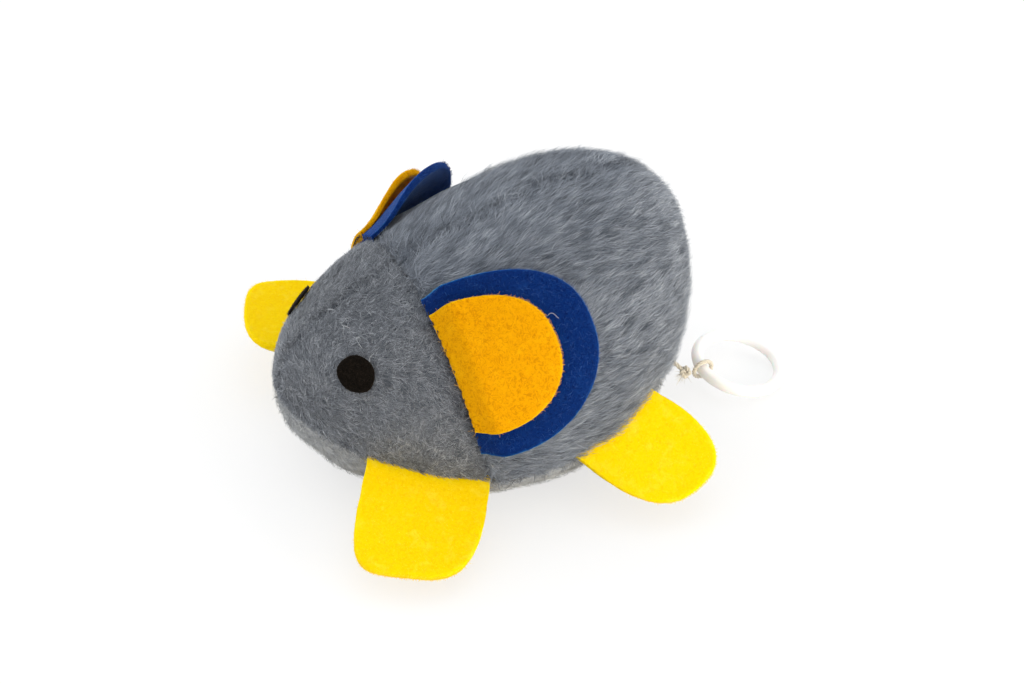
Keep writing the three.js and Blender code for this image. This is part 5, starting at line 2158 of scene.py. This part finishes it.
@dataclass
class PullCord:
    """The cord from the drum out of the rear seam to its knot and its loop round the ring."""

    radius: float = 0.6
    pitch: float = 3.4
    tight_pitch: float = 2.6
    leave: Point = (4.2, 43.3, 14.0)
    route: tuple[Point, ...] = (
        (2.7, 23.2, 16.1), (2.7, 28.6, 16.1), (2.7, 33.97, 16.1), (3.4, 38.7, 15.1), (4.2, 43.3, 14.0),
        (6.9, 46.3, 11.5), (9.7, 49.0, 8.7), (11.9, 50.8, 6.9),
    )
    stretch_from: float = 12.0
    knot: Point = (12.46, 51.33, 6.47)
    loop: Point = (12.344, 56.324, 5.708)
    loop_axis: Point = (0.98872, 0.0, -0.149775)
    loop_radius: float = 2.45
    knot_radius: float = 1.7
    ends: int = 34
    ends_way: Point = (0.1, -0.55, -0.5)
    off_floor: float = 0.3
    seed: int = 7

    def build(self) -> list[Piece]:
        """Makes the cord, its knot with frayed ends, and its loop.

        Returns:
            The pieces.
        """
        line = smooth_line(self.route, 140)
        points, quads = twisted(line, self.radius, self.pitch)
        cord = new_piece("pull_cord_twist", points, quads, CORD_YARN, "cord_yarn")
        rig.replaces(cord, "cord_run", "pull_cord")
        leave = np.array(self.leave)
        start = leave - [0, self.stretch_from, 0]
        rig.blend(cord, "body", "cord_end", tuple(start * MM), tuple(np.array(self.knot) * MM))
        knot, fray, loop = self.make_knot(), self.make_fray(), self.make_loop()
        length = float(np.linalg.norm(np.diff(line, axis=0), axis=1).sum())
        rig.cord(
            cord, exit=tuple(leave * MM), length=length * MM, diameter=2 * self.radius * MM, far_end="knot",
            stiffness="limp", lay="taut", path=(line * MM).tolist(), with_pieces=[knot, fray, loop],
        )
        return [cord, knot, fray, loop]

    def closed_cord(self, path: Array, node: str) -> Piece:
        """A closed length of cord that goes with the cord's end.

        Args:
            path: the line's points.
            node: the CAD node it stands for.

        Returns:
            The piece.
        """
        points, quads = twisted(path, self.radius, self.tight_pitch, closed=True)
        made = new_piece(f"{node}_twist", points, quads, CORD_YARN, "cord_yarn")
        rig.replaces(made, node)
        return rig.ride(made, "cord_end")

    def make_knot(self) -> Piece:
        """An overhand knot, drawn tight.

        Returns:
            The piece.
        """
        t = full_turn(96)
        size = (self.knot_radius - 0.62) / 3
        path = [np.sin(t) + 2 * np.sin(2 * t), np.cos(t) - 2 * np.cos(2 * t), -2.1 * np.sin(3 * t)]
        path = size * np.stack(path, -1)
        out = unit(np.array(self.knot) - np.array(self.leave))
        one = unit(np.cross(out, [0, 0, 1.0]))
        path = path[:, :1] * one + path[:, 1:2] * np.cross(out, one) + path[:, 2:] * out + np.array(self.knot)
        return self.closed_cord(path, "cord_knot")

    def make_fray(self) -> Piece:
        """The knot's short frayed ends.

        Returns:
            The piece.
        """
        rng = np.random.default_rng(self.seed)
        centre = np.array(self.knot)
        way = unit(rng.normal(0, 1, (self.ends, 3)) * 0.55 + np.array(self.ends_way))
        size = rng.uniform(1.2, 3.0, (self.ends, 1))
        bent = rng.normal(0, 0.35, (self.ends, 3))
        root = centre + way * 0.8
        lines = np.stack([root, root + way * size * 0.5 + bent * 0.3, root + way * size + bent], 1)
        lines[..., 2] = np.maximum(lines[..., 2], self.off_floor)
        facing = unit(rng.normal(0, 1, (self.ends, 3)))
        width, shade = rng.uniform(0.1, 0.2, self.ends), rng.uniform(0, 1, self.ends)
        fluff = Pile("cord_fray", lines, facing, width, shade, 0.5)
        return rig.ride(fluff.build(CORD_YARN.fray(), "cord_yarn", self.seed + 1), "cord_end")

    def make_loop(self) -> Piece:
        """The cord's loop round the ring.

        Returns:
            The piece.
        """
        axis = unit(np.array(self.loop_axis))
        one = unit(np.array(self.knot) - np.array(self.loop))
        two = np.cross(axis, one)
        t = full_turn(72)[:, None]
        path = np.array(self.loop) + self.loop_radius * (np.cos(t) * one + np.sin(t) * two)
        return self.closed_cord(path, "cord_loop")


@dataclass
class PullRing:
    """The moulded ring on the cord, with a fine parting line and the stub of its gate."""

    place: Point = (12.1, 66.9, 4.1)
    normal: Point = (0.148, 0.152, 0.977)
    radius: float = 10.7
    tube: float = 1.55
    shrink: float = 0.03
    parting: float = 0.05
    parting_width: float = 0.09
    gate: float = 0.22
    gate_at: float = 0.4
    gate_size: Span = (0.05, 0.25)
    turns: int = 160
    sides: int = 40

    def build(self) -> list[Piece]:
        """Makes the ring.

        Returns:
            The one piece, which replaces its CAD node.
        """
        up = unit(np.array(self.normal))
        one = unit(np.cross(up, [1.0, 0.0, 0.0]))
        two = np.cross(up, one)
        t = full_turn(self.turns)[:, None]
        s = full_turn(self.sides)[None, :]
        line = np.exp(-(np.sin(s) / self.parting_width) ** 2) * self.parting
        long, wide = self.gate_size
        gate = self.gate * np.exp(-((t - self.gate_at) / long) ** 2 - (np.sin(s / 2) / wide) ** 2)
        thick = self.tube - self.shrink + line + gate
        out = self.radius + thick * np.cos(s)
        points = (
            np.array(self.place) + (out * np.cos(t))[..., None] * one + (out * np.sin(t))[..., None] * two
            + (thick * np.sin(s))[..., None] * up
        ).reshape(-1, 3)
        quads = grid_faces(self.turns, self.sides, True, True)
        ring = new_piece("pull_ring_moulding", points, quads, RING_PLASTIC, "ring_plastic")
        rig.replaces(ring, "pull_ring")
        return [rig.ride(ring, "ring")]


@dataclass
class Filling:
    """What fills the mouse: two lots of loose fibre, and the sachet in the head."""

    voxel: float = 1.5
    sink: float = 0.35
    tuft_depth: float = 0.14
    sachet_radius: Point = (9.9, 6.3, 8.9)
    sachet_centre: Point = (0.0, -28.0, 30.0)
    sachet_rings: int = 22
    sachet_sides: int = 72
    crimps: int = 14

    def build(self) -> list[Piece]:
        """Makes the stuffing and the sachet."""
        return [self.stuffing("head_stuffing"), self.stuffing("body_stuffing"), self.sachet()]

    def stuffing(self, node: str) -> Piece:
        """Loose fibre in a CAD node's place, tufted inward.

        Args:
            node: the CAD node.

        Returns:
            The piece.
        """
        rough = bpy.data.objects.new(node + "_rough", frame["nodes"][node].data.copy())
        bpy.context.scene.collection.objects.link(rough)
        remesh = rough.modifiers.new("fill", "REMESH")
        remesh.mode, remesh.voxel_size = "VOXEL", self.voxel * MM
        smooth = rough.modifiers.new("settle", "SMOOTH")
        smooth.iterations, smooth.factor = 3, 0.5
        shaped = bpy.data.meshes.new_from_object(rough.evaluated_get(bpy.context.evaluated_depsgraph_get()))
        bpy.data.objects.remove(rough)
        shaped.materials.clear()
        count = len(shaped.vertices)
        points, normals = np.zeros(count * 3), np.zeros(count * 3)
        shaped.vertices.foreach_get("co", points)
        shaped.vertices.foreach_get("normal", normals)
        points, normals = points.reshape(-1, 3) / MM, normals.reshape(-1, 3)
        x, y, z = points.T
        tuft = np.sin(x * 0.9 + y * 0.6) * np.sin(z * 0.8 - x * 0.5 + 1.1) + np.sin(y * 1.3 + z * 1.1 + 0.4)
        points = points - normals * (self.sink + self.tuft_depth * tuft)[:, None]
        shaped.vertices.foreach_set("co", (points * MM).ravel())
        shaped.polygons.foreach_set("use_smooth", np.ones(len(shaped.polygons), bool))
        shaped.update()
        made = bpy.data.objects.new(node + "_fibre", shaped)
        bpy.context.scene.collection.objects.link(made)
        dress(made, FILLING, "stuffing")
        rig.replaces(made, node)
        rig.ride(made, "body")
        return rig.padded(made, fill=0.8)

    def sachet(self) -> Piece:
        """A small sewn pillow of thin cloth, crimped along its edge.

        Returns:
            The piece.
        """
        rings, sides = self.sachet_rings, self.sachet_sides
        turns = full_turn(sides)
        rx, ry, rz = self.sachet_radius
        points = []
        for face in (1, -1):
            for run in (np.linspace(0, 1, rings) if face > 0 else np.linspace(1, 0, rings)[1:]):
                run = max(run, 1e-3)
                crimp = 1 + 0.02 * np.sin(turns * self.crimps) * run ** 6
                full = face * ry * 0.93 * max(0.0, 1 - run ** 2.2) ** 0.75
                pucker = face * 0.22 * np.sin(turns * self.crimps + 0.6) * run ** 4 * (1 - run ** 8)
                wide = run * crimp * 0.96
                ring = [rx * wide * np.cos(turns), full + pucker, rz * wide * np.sin(turns)]
                points.append(np.stack(ring, -1))
        points = np.concatenate(points) + np.array(self.sachet_centre)
        quads = grid_faces(2 * rings - 1, sides, wrap_columns=True)
        made = new_piece("catnip_sachet_pillow", points, quads, SACHET_CLOTH, "sachet_cloth")
        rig.replaces(made, "catnip_sachet")
        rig.ride(made, "body")
        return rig.padded(made, fill=0.7)


@dataclass
class Shaker:
    """The shaker inside the body: its hard pieces keep their shapes, and its cord is wound."""

    axle: Span = (17.992, 25.0)
    winding_radius: float = 8.9
    cord_radius: float = 0.56
    cord_pitch: float = 3.4
    turn_gap: float = 2.05
    turn_points: int = 40
    hard: tuple[tuple[HardFinish, tuple[str, ...]], ...] = (
        (CASE_PLASTIC, ("case_left", "case_right")),
        (GEAR_PLASTIC, ("cord_drum", "drum_cap", "idler_wheel", "shaker_pinion")),
        (EYELET_BRASS, ("cord_eyelet",)),
        (PLAIN_STEEL, ("case_screw_1", "case_screw_2", "case_screw_3", "case_screw_4")),
        (PLAIN_STEEL, ("drum_axle", "mainspring", "idler_axle", "shaker_shaft", "shaker_weight")),
    )

    def build(self) -> list[Piece]:
        """Dresses the hard pieces and winds the cord on its drum.

        Returns:
            The pieces.
        """
        made = []
        for finish, nodes in self.hard:
            for piece in (frame["nodes"][node] for node in nodes):
                if not piece.material_slots:
                    piece.data.materials.append(finish.material())
                for held in piece.material_slots:
                    held.material = finish.material()
                made.append(piece)
        return made + [self.winding()]

    def winding(self) -> Piece:
        """The cord on the drum, turn beside turn.

        Returns:
            The piece.
        """
        low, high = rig.box("cord_winding")
        start, end = low.x / MM + self.cord_radius, high.x / MM - self.cord_radius
        turns = max(1, int((end - start) / (self.turn_gap * self.cord_radius)))
        t = np.linspace(0, 1, turns * self.turn_points)
        spin = 2 * math.pi * turns * t
        path = np.stack([
            start + (end - start) * t, self.axle[0] + self.winding_radius * np.cos(spin),
            self.axle[1] + self.winding_radius * np.sin(spin),
        ], -1)
        points, quads = twisted(path, self.cord_radius, self.cord_pitch, sides=5)
        made = new_piece("cord_winding_turns", points, quads, CORD_YARN, "cord_yarn")
        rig.replaces(made, "cord_winding")
        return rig.ride(made, "drum")


@dataclass
class Studio:
    """A pale floor, soft light and the camera."""

    lens: float = 80.0
    azimuth: float = 64.531
    elevation: float = 35.997
    distance: float = 551.42
    across: float = 8.369
    height: float = 22.885
    pivot: float = 20.0
    sensor: float = 36.0
    floor_size: float = 3000.0
    floor_drop: float = 0.15
    floor_cells: int = 9
    floor_shade: Colour = (0.93, 0.93, 0.93)
    floor_white: float = 0.68
    world_light: float = 0.92
    lit: Point = (0.0, 0.0, 0.03)

    def camera(self) -> None:
        """Puts the camera where the photograph was taken from."""
        a, e = math.radians(self.azimuth), math.radians(self.elevation)
        back = Vector((math.sin(a) * math.cos(e), -math.cos(a) * math.cos(e), math.sin(e)))
        right = Vector((math.cos(a), math.sin(a), 0))
        up = back.cross(right)
        target = right * self.across + Vector((0, 0, self.pivot)) + up * (self.height - self.pivot)
        data = bpy.data.cameras.new("photo_camera")
        data.lens, data.sensor_width = self.lens, self.sensor
        data.clip_start, data.clip_end = 0.01, 20
        made = bpy.data.objects.new("photo_camera", data)
        turned = Matrix((right, up, back)).transposed().to_4x4()
        made.matrix_world = Matrix.Translation((target + back * self.distance) * MM) @ turned
        bpy.context.scene.collection.objects.link(made)
        bpy.context.scene.camera = made

    def floor(self) -> None:
        """A wide pale floor that keeps the shadow."""
        cells = self.floor_cells
        t = np.linspace(-1, 1, cells)
        x, y = np.meshgrid(t, t, indexing="ij")
        points = np.stack([x, y, np.zeros_like(x)], -1).reshape(-1, 3) * self.floor_size
        points = points - np.array([0, 0, self.floor_drop])
        made = mesh_object("floor", points, grid_faces(cells, cells)[:, ::-1])
        material = bpy.data.materials.new("pale_floor")
        material.use_nodes = True
        bench = NodeBench(material.node_tree)
        paint, white = bench.add("BsdfDiffuse", Color=self.floor_shade), bench.add("Emission")
        seen = bench.add("LightPath").outputs["Is Camera Ray"]
        bench.show(bench.figure("MULTIPLY", seen, self.floor_white), paint, white, "OutputMaterial")
        made.data.materials.append(material)
        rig.stage(made)

    def lamp(self, name: str, place: Point, size: float, power: float, tint: Colour = WHITE) -> None:
        """A soft square lamp that faces the mouse.

        Args:
            name: the lamp's name.
            place: where it hangs, in metres.
            size: its side, in metres.
            power: its power, in watts.
            tint: its light's colour.
        """
        data = bpy.data.lights.new(name, "AREA")
        data.shape, data.size, data.energy, data.color = "SQUARE", size, power, tint
        made = bpy.data.objects.new(name, data)
        made.location = place
        made.rotation_mode = "QUATERNION"
        made.rotation_quaternion = (Vector(self.lit) - Vector(place)).to_track_quat("-Z", "Y")
        bpy.context.scene.collection.objects.link(made)

    def world(self) -> None:
        """Even light from all round, white where it is looked at."""
        world = bpy.data.worlds.new("studio")
        bpy.context.scene.world = world
        world.use_nodes = True
        bench = NodeBench(world.node_tree)
        light = bench.add("Background", Color=WHITE, Strength=self.world_light)
        white = bench.add("Background", Color=WHITE, Strength=1.0)
        rays = bench.add("LightPath").outputs
        seen = bench.figure("MAXIMUM", rays["Is Camera Ray"], rays["Is Glossy Ray"])
        seen = bench.figure("MAXIMUM", seen, rays["Is Transmission Ray"])
        bench.show(seen, light, white, "OutputWorld")

    def build(self) -> None:
        """Sets up the whole studio."""
        bpy.context.scene.view_settings.view_transform = "Standard"
        self.camera()
        self.floor()
        self.world()
        self.lamp("key_lamp", (-0.1, 0.15, 0.9), 0.8, 1.2, (0.8, 0.92, 1.0))
        self.lamp("rear_lamp", (0.62, 0.56, 0.36), 0.4, 0.8)
        self.lamp("side_lamp", (0.75, -0.3, 0.55), 0.6, 0.45, (1.0, 0.98, 0.94))
        self.lamp("low_lamp", (0.5, 0.25, 0.08), 0.3, 2.1, (1.0, 0.88, 0.68))
        self.lamp("far_lamp", (-0.7, -0.35, 0.4), 0.6, 2.2, (0.94, 0.98, 1.0))


def main() -> None:
    """Builds the mouse, piece by piece, and writes its size."""
    logging.basicConfig(level=logging.INFO, format="%(name)s: %(message)s")
    Studio().build()
    ears, eyes = Ears(), Eyes()
    body, lint = PlushBody(ears, eyes), Lint(ears)
    for maker in (PullCord(), PullRing(), body, ears, Feet(), eyes, lint, Filling(), Shaker()):
        for piece in maker.build():
            log.info("%s: %s, %d faces", type(maker).__name__, piece.name, len(piece.data.polygons))
    box = [list(corner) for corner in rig.bounds()]
    with open("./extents.json", "w") as out:
        json.dump({"cad": CAD_BOX, "visual": box}, out)


if __name__ == "__main__":
    main()
